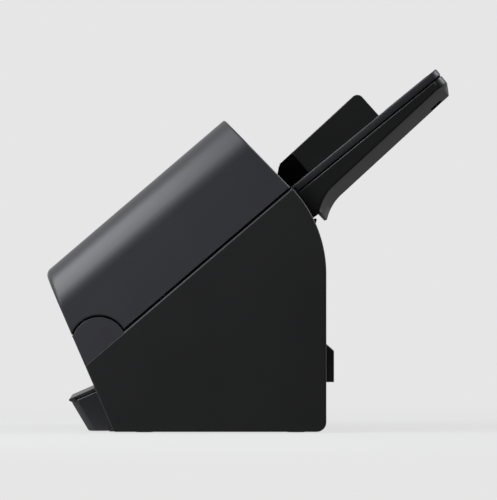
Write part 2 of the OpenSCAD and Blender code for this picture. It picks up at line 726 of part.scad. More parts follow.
// Upper paper guide, closing the cover's underside
ramp_in = 17.5;
ramp_start = path_end - ramp_in;
ramp_run = 12;
ramp_rise = 24;
rib_t = 2.5;
idler_r = 6;
idler_shaft_r = 2;
idler_rib_in = 6;
idler_rib = paper_w / 2 - idler_rib_in;
sep_r = 11;
sep_shaft_r = 3;
sep_rib = 36;
latch_rib_in = 14;
latch_rib = frame_out - latch_rib_in;
rib_half = 7;
rib_over = 4;
plate_clear = fit + wall;
upper_rollers = [[front_drive_s, idler_r, idler_shaft_r, idler_rib],
    [rear_drive_s, idler_r, idler_shaft_r, idler_rib], [feed_s, sep_r, sep_shaft_r, sep_rib]];
module upper_paper_guide() {
    s0 = sweep_r + wall + fit;
    half = half_w - plate_clear;
    color(matt_black) in_path() difference() {
        union() {
            box(s0, ramp_start, -half, half, seam_high, seam_high + guide_t);
            both_sides() box(ramp_start - cut, end_s(0, wall + fit), throat_half + fit, half,
                seam_high, seam_high + guide_t);
            across(-throat_half + fit, throat_half - fit) polygon([[ramp_start - guide_t, seam_high],
                [ramp_start, seam_high], [ramp_start + ramp_run, seam_high + ramp_rise],
                [ramp_start + ramp_run - guide_t, seam_high + ramp_rise],
                [ramp_start - guide_t, seam_high + guide_t]]);
            both_sides() for (r = upper_rollers) box(r[0] - rib_half, r[0] + rib_half, r[3], r[3] + rib_t,
                seam_high, nip + r[1] + r[2] + rib_over);
            both_sides() box(latch_s - rib_half, latch_s + rib_half / 2, latch_rib, latch_rib + rib_t,
                seam_high, latch_up + latch_r + rib_over);
        }
        for (r = upper_rollers) for (y = tyre_list(r[0])) let (w = r[0] == feed_s ? feed_tyre_w : tyre_w)
            box(r[0] - r[1], r[0] + r[1], y - w / 2 - window_slack, y + w / 2 + window_slack,
                seam_high - cut, seam_high + guide_t + cut);
        for (r = upper_rollers) translate([r[0], 0, nip + r[1]])
            rod(-r[3] - rib_t - cut, r[3] + rib_t + cut, r[2] + running);
        translate([latch_s, 0, latch_up])
            rod(-latch_rib - rib_t - cut, latch_rib + rib_t + cut, latch_r + running);
        box(upper_glass_s - glass_half_s - fit, upper_glass_s + glass_half_s + fit,
            -glass_half_y - fit, glass_half_y + fit, seam_high - cut, seam_high + guide_t + cut);
        both_sides() box(hook_front - hook_swing, keeper_s + 2 * keeper_r, hook_in - window_slack,
            hook_in + hook_t + window_slack, seam_high - cut, seam_high + guide_t + cut);
    }
}
module upper_camera() {
    color(deep_black) in_path() translate([upper_glass_s, 0, 0]) mirror([0, 0, 1]) camera_body();
}
module upper_glass() {
    color(glass_tint) in_path() translate([upper_glass_s, 0, 0]) mirror([0, 0, 1]) glass_plate();
}

// Hinge arms from the pins into the cover
hub_r = 12;
arm_neck = 7;
arm_high = 36;
arm_bar = 8;
arm_run = 58;
module hinge_arms() {
    foot_n = seam_high + guide_t;
    color(steel) both_sides() in_path() difference() {
        union() {
            translate([0, 0, hinge_rise]) rod(arm_in, arm_out, hub_r);
            box(-arm_neck / 2, arm_neck / 2, arm_in, arm_out, hinge_rise, arm_high);
            box(-arm_neck / 2, arm_run, arm_in, arm_out, arm_high - arm_bar, arm_high);
            box(arm_run - arm_bar, arm_run, arm_in, arm_out, foot_n, arm_high);
        }
        translate([0, 0, hinge_rise]) rod(arm_in - cut, arm_out + cut, pin_r + running);
    }
}

// Upper rollers, pressed against the lower ones
module at_upper(s, r) { in_path() translate([s, 0, nip + r]) children(); }
module separation_shaft() {
    color(steel) at_upper(feed_s, sep_r) rod(-sep_rib - rib_t - seat, sep_rib + rib_t + seat, sep_shaft_r);
}
module separation_tyres() {
    color(tyre_grey) at_upper(feed_s, sep_r) tyres(sep_r, feed_tyre_w, feed_ys, sep_shaft_r);
}
module idler_set(s) {
    at_upper(s, idler_r) {
        rod(-idler_rib - rib_t - seat, idler_rib + rib_t + seat, idler_shaft_r);
        for (y = tyre_ys) translate([0, y, 0]) rod(-tyre_w / 2, tyre_w / 2, idler_r);
    }
}
module rear_idlers() { color(acetal_white) idler_set(rear_drive_s); }
module front_idlers() { color(acetal_white) idler_set(front_drive_s); }

// Latch: a cross shaft with two hooks and the pull lever
latch_in = 21.5;
latch_s = path_end - latch_in;
latch_up = 32;
latch_r = 3;
keeper_in = 17.5;
keeper_s = path_end - keeper_in;
keeper_drop = 9;
keeper_r = 2.5;
hook_clear = 2.4;
hook_in = frame_out + hook_clear;
hook_t = 4;
hook_w = 4;
hook_front = keeper_s - keeper_r - seat - hook_w;
hook_swing = 10;
hook_hub_r = 6;
hook_toe = 3.4;
keeper_len = 9;
module latch_shaft() {
    color(steel) in_path() translate([latch_s, 0, latch_up])
        rod(-hook_in - hook_t - seat, hook_in + hook_t + seat, latch_r);
}
module latch_hooks() {
    low = -keeper_drop - keeper_r - seat;
    color(deep_black) both_sides() in_path() difference() {
        union() {
            translate([latch_s, 0, latch_up]) rod(hook_in, hook_in + hook_t, hook_hub_r);
            box(hook_front, hook_front + hook_w, hook_in, hook_in + hook_t, low - hook_toe, latch_up);
            box(hook_front, keeper_s + keeper_r / 2, hook_in, hook_in + hook_t, low - hook_toe, low);
        }
        translate([latch_s, 0, latch_up]) rod(hook_in - cut, hook_in + hook_t + cut, latch_r);
    }
}
module latch_keepers() {
    color(steel) both_sides() in_path() translate([keeper_s, 0, -keeper_drop])
        rod(frame_in, frame_out + keeper_len, keeper_r);
}
lever_half = 20;
lever_t = 3;
lever_high = 60;
lever_in = 10;
lever_s = path_end - lever_in;
lever_arm = 6;
module release_lever() {
    color(matt_black) in_path() difference() {
        union() {
            translate([latch_s, 0, latch_up]) rod(-lever_half, lever_half, hook_hub_r);
            box(latch_s, lever_s + lever_t, -lever_half, lever_half, latch_up - lever_arm / 2,
                latch_up + lever_arm / 2);
            box(lever_s, lever_s + lever_t, -lever_half, lever_half, latch_up - lever_arm / 2, lever_high);
        }
        translate([latch_s, 0, latch_up]) rod(-lever_half - cut, lever_half + cut, latch_r);
    }
}

// Control panel on the cover's top face: bezel, display, board and four buttons
panel_s = 36;
panel_len = 40;
panel_half = 58;
bezel_t = 2;
display_half_s = 13;
display_w = 48;
display_y = -29;
display_t = 1.2;
button_r = 5;
start_r = 7;
button_cap_h = 3;
button_flange = 1.2;
button_proud = 0.4;
button_clear = 0.25;
button_travel = 0.8;
board_drop = 8;
button_rim = 1;
start_y = 14;
stop_y = 46;
arrow_y = 31;
arrow_step = 9;
arrow_r = 4;
button_places = [[panel_s, start_y, start_r], [panel_s, stop_y, button_r],
    [panel_s + arrow_step, arrow_y, arrow_r], [panel_s - arrow_step, arrow_y, arrow_r]];
module panel_bezel() {
    low = cover_h - bezel_t;
    color(deep_black) in_path() difference() {
        union() {
            box(panel_s - panel_len / 2 + fit, panel_s + panel_len / 2 - fit, fit - panel_half,
                panel_half - fit, low, cover_h);
            for (x = [-1, 1]) for (y = [-1, 1])
                translate([panel_s + x * (panel_len / 2 - post_in), y * (panel_half - post_in),
                cover_h - board_drop]) cylinder(h = board_drop - bezel_t / 2, r = post_r);
        }
        box(panel_s - display_half_s, panel_s + display_half_s, display_y - display_w / 2,
            display_y + display_w / 2, cover_h - display_t, cover_h + cut);
        for (b = button_places) translate([b[0], b[1], low - cut])
            cylinder(h = bezel_t + 2 * cut, r = b[2] + button_clear);
    }
}
module display_window() {
    color(glass_tint) in_path() box(panel_s - display_half_s + pin_fit, panel_s + display_half_s - pin_fit,
        display_y - display_w / 2 + pin_fit, display_y + display_w / 2 - pin_fit,
        cover_h - display_t, cover_h - pin_fit);
}
module panel_board() {
    color(board_green) in_path() box(panel_s - panel_len / 2 + wall, panel_s + panel_len / 2 - wall,
        wall - panel_half, panel_half - wall, cover_h - board_drop - board_t, cover_h - board_drop);
}
module panel_button(b) {
    under = cover_h - bezel_t - seat;
    in_path() translate([b[0], b[1], 0]) {
        translate([0, 0, under - button_flange]) cylinder(h = button_flange, r = b[2] + button_rim);
        translate([0, 0, under - button_flange / 2])
            cylinder(h = bezel_t + seat + button_proud + button_flange / 2, r = b[2]);
        translate([0, 0, cover_h - board_drop + button_travel + seat])
            cylinder(h = board_drop - bezel_t - button_flange - button_travel - seat, r = post_r);
    }
}
module start_button() { color(key_green) panel_button(button_places[0]); }
module stop_button() { color(tray_grey) panel_button(button_places[1]); }
module up_button() { color(tray_grey) panel_button(button_places[2]); }
module down_button() { color(tray_grey) panel_button(button_places[3]); }

// Input tray
tray_in = 5.5;
tray_half = frame_in - tray_in;
tray_pin_in = 12;
tray_pin_r = 2;
tray_corner_r = 8;
slot_mid = 44.5;
stem_t = 5;
stem_w = 6;
slot_in = 18;
gear_mod = 1;
gear_teeth = 18;
gear_r = gear_mod * gear_teeth / 2;
gear_low = -10.6;
gear_clear = 0.8;
gear_high = -plate_t - gear_clear;
gear_post_r = 3;
paper_slack = 0.5;
guide_inner = paper_w / 2 + paper_slack;
guide_t_fin = 2.6;
foot_in = 9;
foot_t = 1.2;
foot_rest = 0.3;
module tray_plan(inset, t0) {
    r = max(tray_corner_r - inset, sharp_r);
    w = tray_half - inset;
    l = tray_len - inset;
    polygon(concat([[t0, -w]], corner([t0, -w], [l, -w], [l, w], r), corner([l, -w], [l, w], [t0, w], r),
        [[t0, w]]));
}
module tray_plate() {
    color(tray_grey) in_tray() {
        difference() {
            union() {
                translate([0, 0, -plate_t]) linear_extrude(height = plate_t) tray_plan(0, 0);
                box(-tongue_len, cut, -tray_half, tray_half, -plate_t, -tongue_drop);
            }
            both_sides() box(slot_mid - stem_t / 2 - fit, slot_mid + stem_t / 2 + fit, slot_in,
                guide_inner + guide_t_fin, -plate_t - cut, cut);
        }
        translate([slot_mid, 0, gear_low + seat])
            cylinder(h = -gear_low - seat - plate_t / 2, r = gear_post_r);
        both_sides() translate([-tray_pin_in, 0, -plate_t / 2]) rod(tray_half - cut, frame_out, tray_pin_r);
    }
}
bevel_w = 12;
bevel_h = 8;
housing_wall = 2.2;
cavity_start = 20;
cavity_end = 3;
spacer_in = 5;
notch_t = 10;
notch_back = 16.5;
notch_mid = tray_len - notch_back;
notch_in = 22;
extension_in = 25;
extension_half = tray_half - extension_in;
extension_t = 2.2;
extension_high = -13.2;
extension_start = 44;
module bevel_cut(near, far, overrun) {
    // Wedge along the lower right-hand edge of the housing, from near to far
    run = far - near;
    side = tray_half + bevel_w;
    translate([near[0], 0, near[1]]) rotate([0, -atan2(run[1], run[0]), 0])
        lengthwise(-overrun[0], norm(run) + overrun[1])
        polygon([[bevel_w - tray_half, 0], [bevel_w - side, 2 * bevel_h], [bevel_w - side, -2 * bevel_h],
            [bevel_w - tray_half, -2 * bevel_h]]);
}
module housing_bulk() {
    mitre = bevel_h * tan((tail_lean + end_slope) / 4);
    heel = [tray_len - end_slope, -end_depth];
    bend = [root_up, -root_depth];
    difference() {
        intersection() {
            across(-tray_half, tray_half) polygon(housing_outline());
            translate([0, 0, -2 * root_depth]) linear_extrude(height = 2 * root_depth)
                tray_plan(0, -root_depth);
        }
        both_sides() bevel_cut(bend, heel, [mitre, 2 * end_slope]);
        both_sides() bevel_cut(tail_out, bend, [tail_t, mitre]);
    }
}
module tray_housing() {
    low = -end_depth + housing_wall;
    color(deep_black) in_tray() difference() {
        union() {
            housing_bulk();
            both_sides() box(cavity_start, tray_len - tray_corner_r, extension_half + 3 * fit,
                tray_half - spacer_in, housing_top - cut, -plate_t);
        }
        box(cavity_start, tray_len - cavity_end, -extension_half - fit, extension_half + fit, low,
            housing_top + cut);
        box(slot_mid - 2 * gear_r, slot_mid + 2 * gear_r, -guide_inner - guide_t_fin,
            guide_inner + guide_t_fin, gear_low - fit, housing_top + shadow_gap + cut);
        box(cavity_start, tray_len + cut, -extension_half - fit, extension_half + fit,
            extension_high - extension_t - fit, extension_high + fit);
        both_sides() box(notch_mid - notch_t / 2, notch_mid + notch_t / 2, extension_half - notch_in,
            tray_half - bevel_w + wall, -end_depth - bevel_h, low + cut);
    }
}
handle_t = 3;
module tray_extension() {
    color(tray_grey) in_tray() {
        box(extension_start, tray_len - cavity_end, -extension_half, extension_half,
            extension_high - extension_t, extension_high);
        box(tray_len - cavity_end - handle_t, tray_len - cavity_end, -extension_half, extension_half,
            extension_high - extension_t, extension_high);
    }
}

// Side guides with their racks, and the pinion that couples them
pressure = 20;
addendum = gear_mod;
dedendum = 1.25 * gear_mod;
tooth_pitch = PI * gear_mod;
backlash = 0.22;
rack_body = 4;
rack_end = 14;
function involute(base, a) = base * [cos(a) + a * PI / 180 * sin(a), sin(a) - a * PI / 180 * cos(a)];
function turn2(p, a) = [p[0] * cos(a) - p[1] * sin(a), p[0] * sin(a) + p[1] * cos(a)];
module pinion_shape() {
    base = gear_r * cos(pressure);
    root = gear_r - dedendum;
    tip = gear_r + addendum;
    tip_roll = sqrt(pow(tip / base, 2) - 1) * 180 / PI;
    flank_at_pitch = tan(pressure) * 180 / PI - pressure;
    half = 90 / gear_teeth - backlash / 2 / gear_r * 180 / PI + flank_at_pitch;
    flank_steps = 4;
    circle(r = root);
    for (k = [0:gear_teeth - 1]) rotate(k * 360 / gear_teeth) polygon(concat([[0, -root * sin(half)]],
        [for (i = [0:flank_steps]) turn2(involute(base, tip_roll * i / flank_steps), -half)],
        [for (i = [flank_steps:-1:0])
            turn2(involute(base, tip_roll * i / flank_steps), -half) * [[1, 0], [0, -1]]],
        [[0, root * sin(half)]]));
}
module guide_pinion() {
    color(acetal_white) in_tray() translate([slot_mid, 0, gear_low]) difference() {
        linear_extrude(height = gear_high - gear_low) pinion_shape();
        translate([0, 0, -cut]) cylinder(h = gear_high - gear_low + 2 * cut, r = gear_post_r + running);
    }
}
// Rack drawn for the right-hand guide; its teeth face the pinion
module rack(y0, y1) {
    face = gear_r + dedendum;
    half = tooth_pitch / 4 - backlash / 4;
    tip_half = half - addendum * tan(pressure);
    root_half = half + dedendum * tan(pressure);
    count = floor((y1 - y0) / tooth_pitch);
    first = ceil(y0 / tooth_pitch + 0.5);
    translate([slot_mid, 0, gear_low]) linear_extrude(height = gear_high - gear_low) {
        translate([face, y0]) square([rack_body, y1 - y0]);
        for (k = [first:first + count - 2]) let (y = (k + 0.5) * tooth_pitch)
            polygon([[face + cut, y - root_half], [face, y - root_half], [gear_r - addendum, y - tip_half],
                [gear_r - addendum, y + tip_half], [face, y + root_half], [face + cut, y + root_half]]);
    }
}
toe_reach = 6;
toe_up = 2.8;
toe_run = 3.1;
toe_shares = [0.58, 0.80];
fin_end = 81;
fin_r = 5;
fin_splay = 1;
foot_start = 12;
foot_end = 74;
module guide_fin() {
    tip = [fin_end, guide_h];
    near = [toe_run, guide_h * toe_shares[1]];
    foot = [fin_end + fin_splay, foot_rest];
    across(-guide_inner - guide_t_fin, -guide_inner) polygon(concat([[-toe_reach, foot_rest],
        [-toe_up, guide_h * toe_shares[0]], near], corner(near, tip, foot, fin_r), [foot]));
}
module side_guide() {
    // Right-hand guide; the left one is this turned half a turn about the pinion
    guide_fin();
    box(foot_start, foot_end, -guide_inner - guide_t_fin, -guide_inner + foot_in,
        foot_rest, foot_rest + foot_t);
    box(slot_mid - stem_t / 2, slot_mid + stem_t / 2, -guide_inner, -guide_inner + stem_w,
        gear_low, foot_rest + foot_t / 2);
    box(slot_mid - stem_t / 2, slot_mid + gear_r + dedendum + rack_body, -guide_inner,
        -guide_inner + stem_w, gear_low, gear_high);
    rack(-guide_inner, rack_end);
}
module right_guide() { color(matt_black) in_tray() side_guide(); }
module left_guide() {
    color(matt_black) in_tray() {
        mirror([0, 1, 0]) {
            guide_fin();
            box(foot_start, foot_end, -guide_inner - guide_t_fin, -guide_inner + foot_in,
                foot_rest, foot_rest + foot_t);
            box(slot_mid - stem_t / 2, slot_mid + stem_t / 2, -guide_inner, -guide_inner + stem_w,
                gear_low, foot_rest + foot_t / 2);
        }
        translate([2 * slot_mid, 0, 0]) mirror([1, 0, 0]) mirror([0, 1, 0]) {
            box(slot_mid - stem_t / 2, slot_mid + gear_r + dedendum + rack_body, -guide_inner,
                -guide_inner + stem_w, gear_low, gear_high);
            rack(-guide_inner, rack_end);
        }
    }
}

// Output tray: sliding plate, extension with the front block, and the hinged stop
tray1_t = 2;
tray1_lip = 5;
tray1_rear = 16;
stop_t = 2.2;
stop_gap = 0.6;
stop_axis_in = 1;
stop_axis = (stop_axis_in + stop_t) / 2 - stub_reach;
stop_pin_r = 0.7;
ear_t = 2.6;
ear_len = 5;
nose_back = 1.5;
block_in = 12;
block_chamfer = 4;
block_foot_r = 2;
block_lift = 4;
tongue_low = ground_gap + wall + seat + tray1_t + seat;
tongue_half = tray1_half - wall - 2 * fit;
stop_half = output_w / 2 - ear_t - fit;
function front_row(x, z) = [front_x(stub_h) + x * cos(front_lean) - z * sin(front_lean),
    stub_h + x * sin(front_lean) + z * cos(front_lean)];
module output_tray() {
    z0 = ground_gap + wall + seat;
    x0 = front_x(ground_gap) + pan_set + fit;
    x1 = rear_x - tray1_rear;
    color(matt_black) {
        box(x0, x1, -tray1_half, tray1_half, z0, z0 + tray1_t);
        both_sides() box(x0, x1, tray1_half - wall, tray1_half, z0, z0 + tray1_t + tray1_lip);
    }
}
module block_section(inset) {
    under = -stop_t - stop_gap - inset;
    nose = front_row(nose_back + inset - stub_reach, under);
    foot = [nose[0] + (nose[1] - ground_gap) * tan(stub_lean), ground_gap - (inset > 0 ? cut : 0)];
    rear = front_row(block_in - inset, under);
    heel_x = front_x(ground_gap) - seat - inset;
    polygon(concat([nose], corner(nose, foot, [rear[0], foot[1]], block_foot_r),
        [[heel_x - block_lift, foot[1]], [heel_x, foot[1] + block_lift], [heel_x, tongue_low],
        [rear[0], tongue_low], rear]));
}
module block_plan() {
    // Corner-cut prism that follows the lean of the front face
    tip = front_row(nose_back - stub_reach, -stop_t);
    w = output_w / 2;
    depth = 3 * stub_reach;
    translate([tip[0], 0, tip[1]]) rotate([0, -stub_lean, 0]) translate([0, 0, -2 * stub_h])
        linear_extrude(height = 4 * stub_h) polygon([[0, block_chamfer - w], [block_chamfer, -w],
            [depth, -w], [depth, w], [block_chamfer, w], [0, w - block_chamfer]]);
}
module output_extension() {
    z1 = tongue_low + tray1_t;
    color(matt_black) {
        difference() {
            union() {
                intersection() {
                    across(-output_w / 2, output_w / 2) block_section(0);
                    block_plan();
                }
                both_sides() in_front() difference() {
                    box(stop_axis_in / 4 - stub_reach, ear_len - stub_reach, output_w / 2 - ear_t,
                        output_w / 2 - sharp_r, -stop_t - stop_gap - wall / 2, 0);
                    translate([stop_axis, 0, -stop_t / 2])
                        rod(stop_half - cut, output_w / 2 + cut, stop_pin_r + running);
                }
            }
            across(wall - output_w / 2 + block_chamfer, output_w / 2 - wall - block_chamfer)
                block_section(wall);
        }
        box(front_x(ground_gap) - seat - block_lift, rear_x - tray1_rear - wall, -tongue_half, tongue_half,
            tongue_low, z1);
    }
}
module paper_stop() {
    color(tray_grey) in_front() {
        translate([stop_axis, 0, -stop_t / 2]) {
            rod(-stop_half, stop_half, stop_t / 2);
            both_sides() rod(stop_half - cut, stop_half + ear_t - wall / 2, stop_pin_r);
        }
        box(stop_axis, 0, -stop_half, stop_half, -stop_t, 0);
    }
}

base_pan();
right_side_cover();
left_side_cover();
right_hinge_cap();
left_hinge_cap();
exit_cover();
front_panel();
rear_cover();
connector_block();
dc_jack();
usb_port();
right_side_frame();
left_side_frame();
hinge_pins();
lower_paper_guide();
lower_camera();
lower_glass();
roller_bushes();
motor_body();
drive_belts();
main_board();
rubber_feet();
tie_bars();
side_cover_screws();
latch_keepers();
cover_shell();
upper_paper_guide();
hinge_arms();
upper_camera();
upper_glass();
panel_bezel();
display_window();
panel_board();
latch_shaft();
latch_hooks();
release_lever();
start_button();
stop_button();
up_button();
down_button();
feed_shaft();
feed_tyres();
rear_drive_shaft();
rear_drive_tyres();
front_drive_shaft();
front_drive_tyres();
motor_pulley();
separation_shaft();
separation_tyres();
rear_idlers();
front_idlers();
tray_plate();
tray_housing();
right_guide();
left_guide();
guide_pinion();
tray_extension();
output_tray();
output_extension();
paper_stop();
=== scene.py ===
import json
import math

import bmesh
import bpy
import numpy as np
from mathutils import Matrix, Vector
from mathutils.geometry import tessellate_polygon


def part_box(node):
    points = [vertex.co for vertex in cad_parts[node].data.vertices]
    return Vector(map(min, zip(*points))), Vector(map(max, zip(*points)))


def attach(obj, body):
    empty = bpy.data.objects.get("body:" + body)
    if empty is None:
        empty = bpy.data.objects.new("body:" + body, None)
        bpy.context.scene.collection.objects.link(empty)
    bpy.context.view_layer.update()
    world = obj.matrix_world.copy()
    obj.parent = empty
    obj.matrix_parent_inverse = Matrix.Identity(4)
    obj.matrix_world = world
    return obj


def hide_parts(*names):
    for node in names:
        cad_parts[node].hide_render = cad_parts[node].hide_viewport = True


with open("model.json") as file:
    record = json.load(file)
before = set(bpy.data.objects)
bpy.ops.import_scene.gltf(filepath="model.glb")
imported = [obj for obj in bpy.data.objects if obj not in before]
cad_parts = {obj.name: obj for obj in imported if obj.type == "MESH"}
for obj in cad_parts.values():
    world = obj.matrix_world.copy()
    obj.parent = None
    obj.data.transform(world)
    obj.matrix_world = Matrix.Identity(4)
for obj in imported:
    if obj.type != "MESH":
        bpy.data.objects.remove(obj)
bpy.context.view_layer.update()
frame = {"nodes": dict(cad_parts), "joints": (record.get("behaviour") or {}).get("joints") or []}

nodes = frame["nodes"]

# The view. A long lens looks level at the right-hand side, as the photograph
# does, from far enough away for the two ends to look alike.
VIEW_DISTANCE, VIEW_HEIGHT = 6.6, 0.365
VIEW_X, VIEW_Z = 0.0001, 0.1336


def set_down(name, data):
    """A new object in the scene."""
    made = bpy.data.objects.new(name, data)
    bpy.context.scene.collection.objects.link(made)
    return made


near_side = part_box("right_side_cover")[0].y
lens = bpy.data.cameras.new("camera")
lens.sensor_fit = "VERTICAL"
lens.sensor_height = 36
lens.lens = lens.sensor_height * VIEW_DISTANCE / VIEW_HEIGHT
lens.clip_end = 40
camera = set_down("camera", lens)
camera.location = (VIEW_X, near_side - VIEW_DISTANCE, VIEW_Z)
camera.rotation_euler = (math.radians(90), 0, 0)
bpy.context.scene.camera = camera
bpy.context.scene.view_settings.view_transform = "Standard"


# The lights. One large softbox stands high to the left of the camera and draws the
# long highlight on the cover's edge; a weaker one behind lifts the curved back.
def softbox(name, direction, along, distance, size, power, aim, colour):
    """A rectangular lamp at a distance from aim along a direction, facing back at aim, with its first
    side as near parallel to along as that allows."""
    away = Vector(direction).normalized()
    over = away.cross(Vector(along)).normalized()
    lamp = bpy.data.lights.new(name, "AREA")
    lamp.shape = "RECTANGLE"
    lamp.size, lamp.size_y = size
    lamp.energy = power
    lamp.color = colour
    holder = set_down(name, lamp)
    holder.matrix_world = Matrix((over.cross(away), over, away)).transposed().to_4x4()
    holder.location = Vector(aim) + away * distance


softbox("key_light", direction=(-0.56, -0.52, 0.65), along=(0.76, 0, 0.65), distance=1.5,
        size=(0.72, 1.8), power=31, aim=(-0.19, 0, -0.02), colour=(0.94, 0.96, 1.0))
softbox("rear_light", direction=(0.77, 0.03, 0.64), along=(0, 1, 0), distance=2.2,
        size=(0.9, 0.6), power=22, aim=(0, 0, 0.13), colour=(0.95, 0.96, 1.0))


# The surroundings. Plain light comes from all round; the camera and glass see the
# pale backdrop of the photograph, and so does gloss, but for the dark camera side.
class Value:
    """A number inside a shader. Arithmetic on it adds the Math nodes that work it out."""

    def __init__(self, shading, socket):
        self.shading, self.socket = shading, socket

    def _math(self, operation, first, second):
        return self.shading.node("ShaderNodeMath", {"operation": operation}, (first, second))

    def __add__(self, other):
        return self._math("ADD", self, other)

    def __radd__(self, other):
        return self._math("ADD", other, self)

    def __sub__(self, other):
        return self._math("SUBTRACT", self, other)

    def __rsub__(self, other):
        return self._math("SUBTRACT", other, self)

    def __mul__(self, other):
        return self._math("MULTIPLY", self, other)

    def __rmul__(self, other):
        return self._math("MULTIPLY", other, self)

    def top(self, other):
        """The larger of two numbers."""
        return self._math("MAXIMUM", self, other)


class Shading:
    """The nodes of one shader, and one way to add to them."""

    def __init__(self, tree):
        self.tree = tree
        tree.nodes.clear()

    def node(self, kind, settings=None, inputs=(), output=0):
        """One node of a kind: its settings first, then the values or links of its inputs."""
        made = self.tree.nodes.new(kind)
        for key, value in (settings or {}).items():
            setattr(made, key, value)
        pairs = inputs.items() if isinstance(inputs, dict) else enumerate(inputs)
        for key, value in pairs:
            self.put(made.inputs[key], value)
        return Value(self, made.outputs[output]) if made.outputs else made

    def put(self, socket, value):
        """Links a worked-out value to a socket, or sets a plain one on it."""
        if isinstance(value, Value):
            self.tree.links.new(value.socket, socket)
        else:
            socket.default_value = value

    def ray(self, kind):
        """1 for rays of a kind, 0 for the others."""
        return self.node("ShaderNodeLightPath", output=f"Is {kind} Ray")

    def fade(self, value, span, low=0.0, high=1.0):
        """A smooth change from low to high as a value crosses a span."""
        return self.node("ShaderNodeMapRange", {"interpolation_type": "SMOOTHSTEP"},
                         {"Value": value, "From Min": span[0], "From Max": span[1],
                          "To Min": low, "To Max": high})


BACKDROP, FILL, CAMERA_SIDE = 0.791, 0.45, 0.0
DARK_SPAN = (-0.85, 0.12)
world = bpy.data.worlds.new("studio")
bpy.context.scene.world = world
world.use_nodes = True
studio = Shading(world.node_tree)
plain_view = studio.ray("Camera").top(studio.ray("Transmission"))
direction = studio.node("ShaderNodeTexCoord", output="Generated")
away_from_camera = studio.node("ShaderNodeSeparateXYZ", {}, (direction,), "Y")
in_gloss = studio.fade(away_from_camera, DARK_SPAN, CAMERA_SIDE, BACKDROP)
level = FILL + studio.ray("Glossy") * (in_gloss - FILL)
level = level + plain_view * (BACKDROP - level)
air = studio.node("ShaderNodeBackground", {}, {"Color": (1, 1, 1, 1), "Strength": level})
studio.node("ShaderNodeOutputWorld", {}, {"Surface": air})


# The floor: a pale seamless sheet. What the camera sees of it is mostly the
# backdrop's own tone, and near the object the rest shows its soft shadow. Gloss
# sees it pale under and behind the object, and dark on the camera's side.
MM = 0.001


class Finish(Shading):
    """A material in the making: its shader, the place of each point on its piece, and the name of the
    record's material slot that it is meant for, which is kept but not used."""

    def __init__(self, name, slot=None):
        self.slot = slot
        self.material = bpy.data.materials.new(name)
        self.material.use_nodes = True
        super().__init__(self.material.node_tree)
        self.shader = self.tree.nodes.new("ShaderNodeBsdfPrincipled")
        self.end = self.tree.nodes.new("ShaderNodeOutputMaterial")
        self.tree.links.new(self.shader.outputs[0], self.end.inputs["Surface"])
        self.place = self.node("ShaderNodeTexCoord", output="Object")

    def put(self, socket, value):
        super().put(self.shader.inputs[socket] if isinstance(socket, str) else socket, value)

    def noise(self, scale, detail):
        """Soft random spots, about as many to a metre as scale says."""
        return self.node("ShaderNodeTexNoise", {}, {"Vector": self.place, "Scale": scale,
                                                    "Detail": detail}, "Fac")

    def blend(self, factor, first, second):
        """A colour between two others."""
        return self.node("ShaderNodeMix", {"data_type": "RGBA"}, {"Factor": factor, 6: first, 7: second}, 2)

    def bump(self, height, strength, depth):
        """Tilts the surface by a height, which stands for a depth in millimetres."""
        normal = self.node("ShaderNodeBump", {}, {"Height": height, "Strength": strength,
                                                  "Distance": depth * MM}, "Normal")
        self.put("Normal", normal)


def tint(level, blue=0.0):
    """An sRGB grey level from 0 to 255 as a linear colour, with its blue raised by a share."""
    def linear(v):
        v /= 255
        return v / 12.92 if v <= 0.04045 else ((v + 0.055) / 1.055) ** 2.4
    return (linear(level), linear(level), linear(level * (1 + blue)), 1)


FLOOR_HALF = 8.0
GLOSS_SPAN, SHADOW_SPAN = (-0.17, -0.13), (0.3, 1.1)
NEAR_GLOW, MIRROR_GLOW = 0.85, 0.8
floor_mesh = bpy.data.meshes.new("floor")
floor_mesh.from_pydata([(-FLOOR_HALF, -FLOOR_HALF, 0), (FLOOR_HALF, -FLOOR_HALF, 0),
                        (FLOOR_HALF, FLOOR_HALF, 0), (-FLOOR_HALF, FLOOR_HALF, 0)], [], [(0, 1, 2, 3)])
floor = set_down("floor", floor_mesh)
paper = Finish("floor_paper")
paper.put("Roughness", 0.95)
paper.put("Specular IOR Level", 0.05)
seen, mirrored = paper.ray("Camera").top(paper.ray("Transmission")), paper.ray("Glossy")
behind = paper.fade(paper.node("ShaderNodeSeparateXYZ", {}, (paper.place,), "Y"), GLOSS_SPAN)
reach = paper.node("ShaderNodeVectorMath", {"operation": "LENGTH"}, (paper.place,), "Value")
far_off = paper.fade(reach, SHADOW_SPAN)
paper.put("Base Color", paper.blend(mirrored * (1 - behind), tint(212), (0, 0, 0, 1)))
glow = paper.node("ShaderNodeEmission", {}, {"Color": (BACKDROP, BACKDROP, BACKDROP, 1)})
lit = Value(paper, paper.shader.outputs[0])
glow_share = seen * (NEAR_GLOW + (1 - NEAR_GLOW) * far_off) + mirrored * behind * MIRROR_GLOW
paper.put(paper.end.inputs["Surface"], paper.node("ShaderNodeMixShader", {}, (glow_share, lit, glow)))
floor_mesh.materials.append(paper.material)

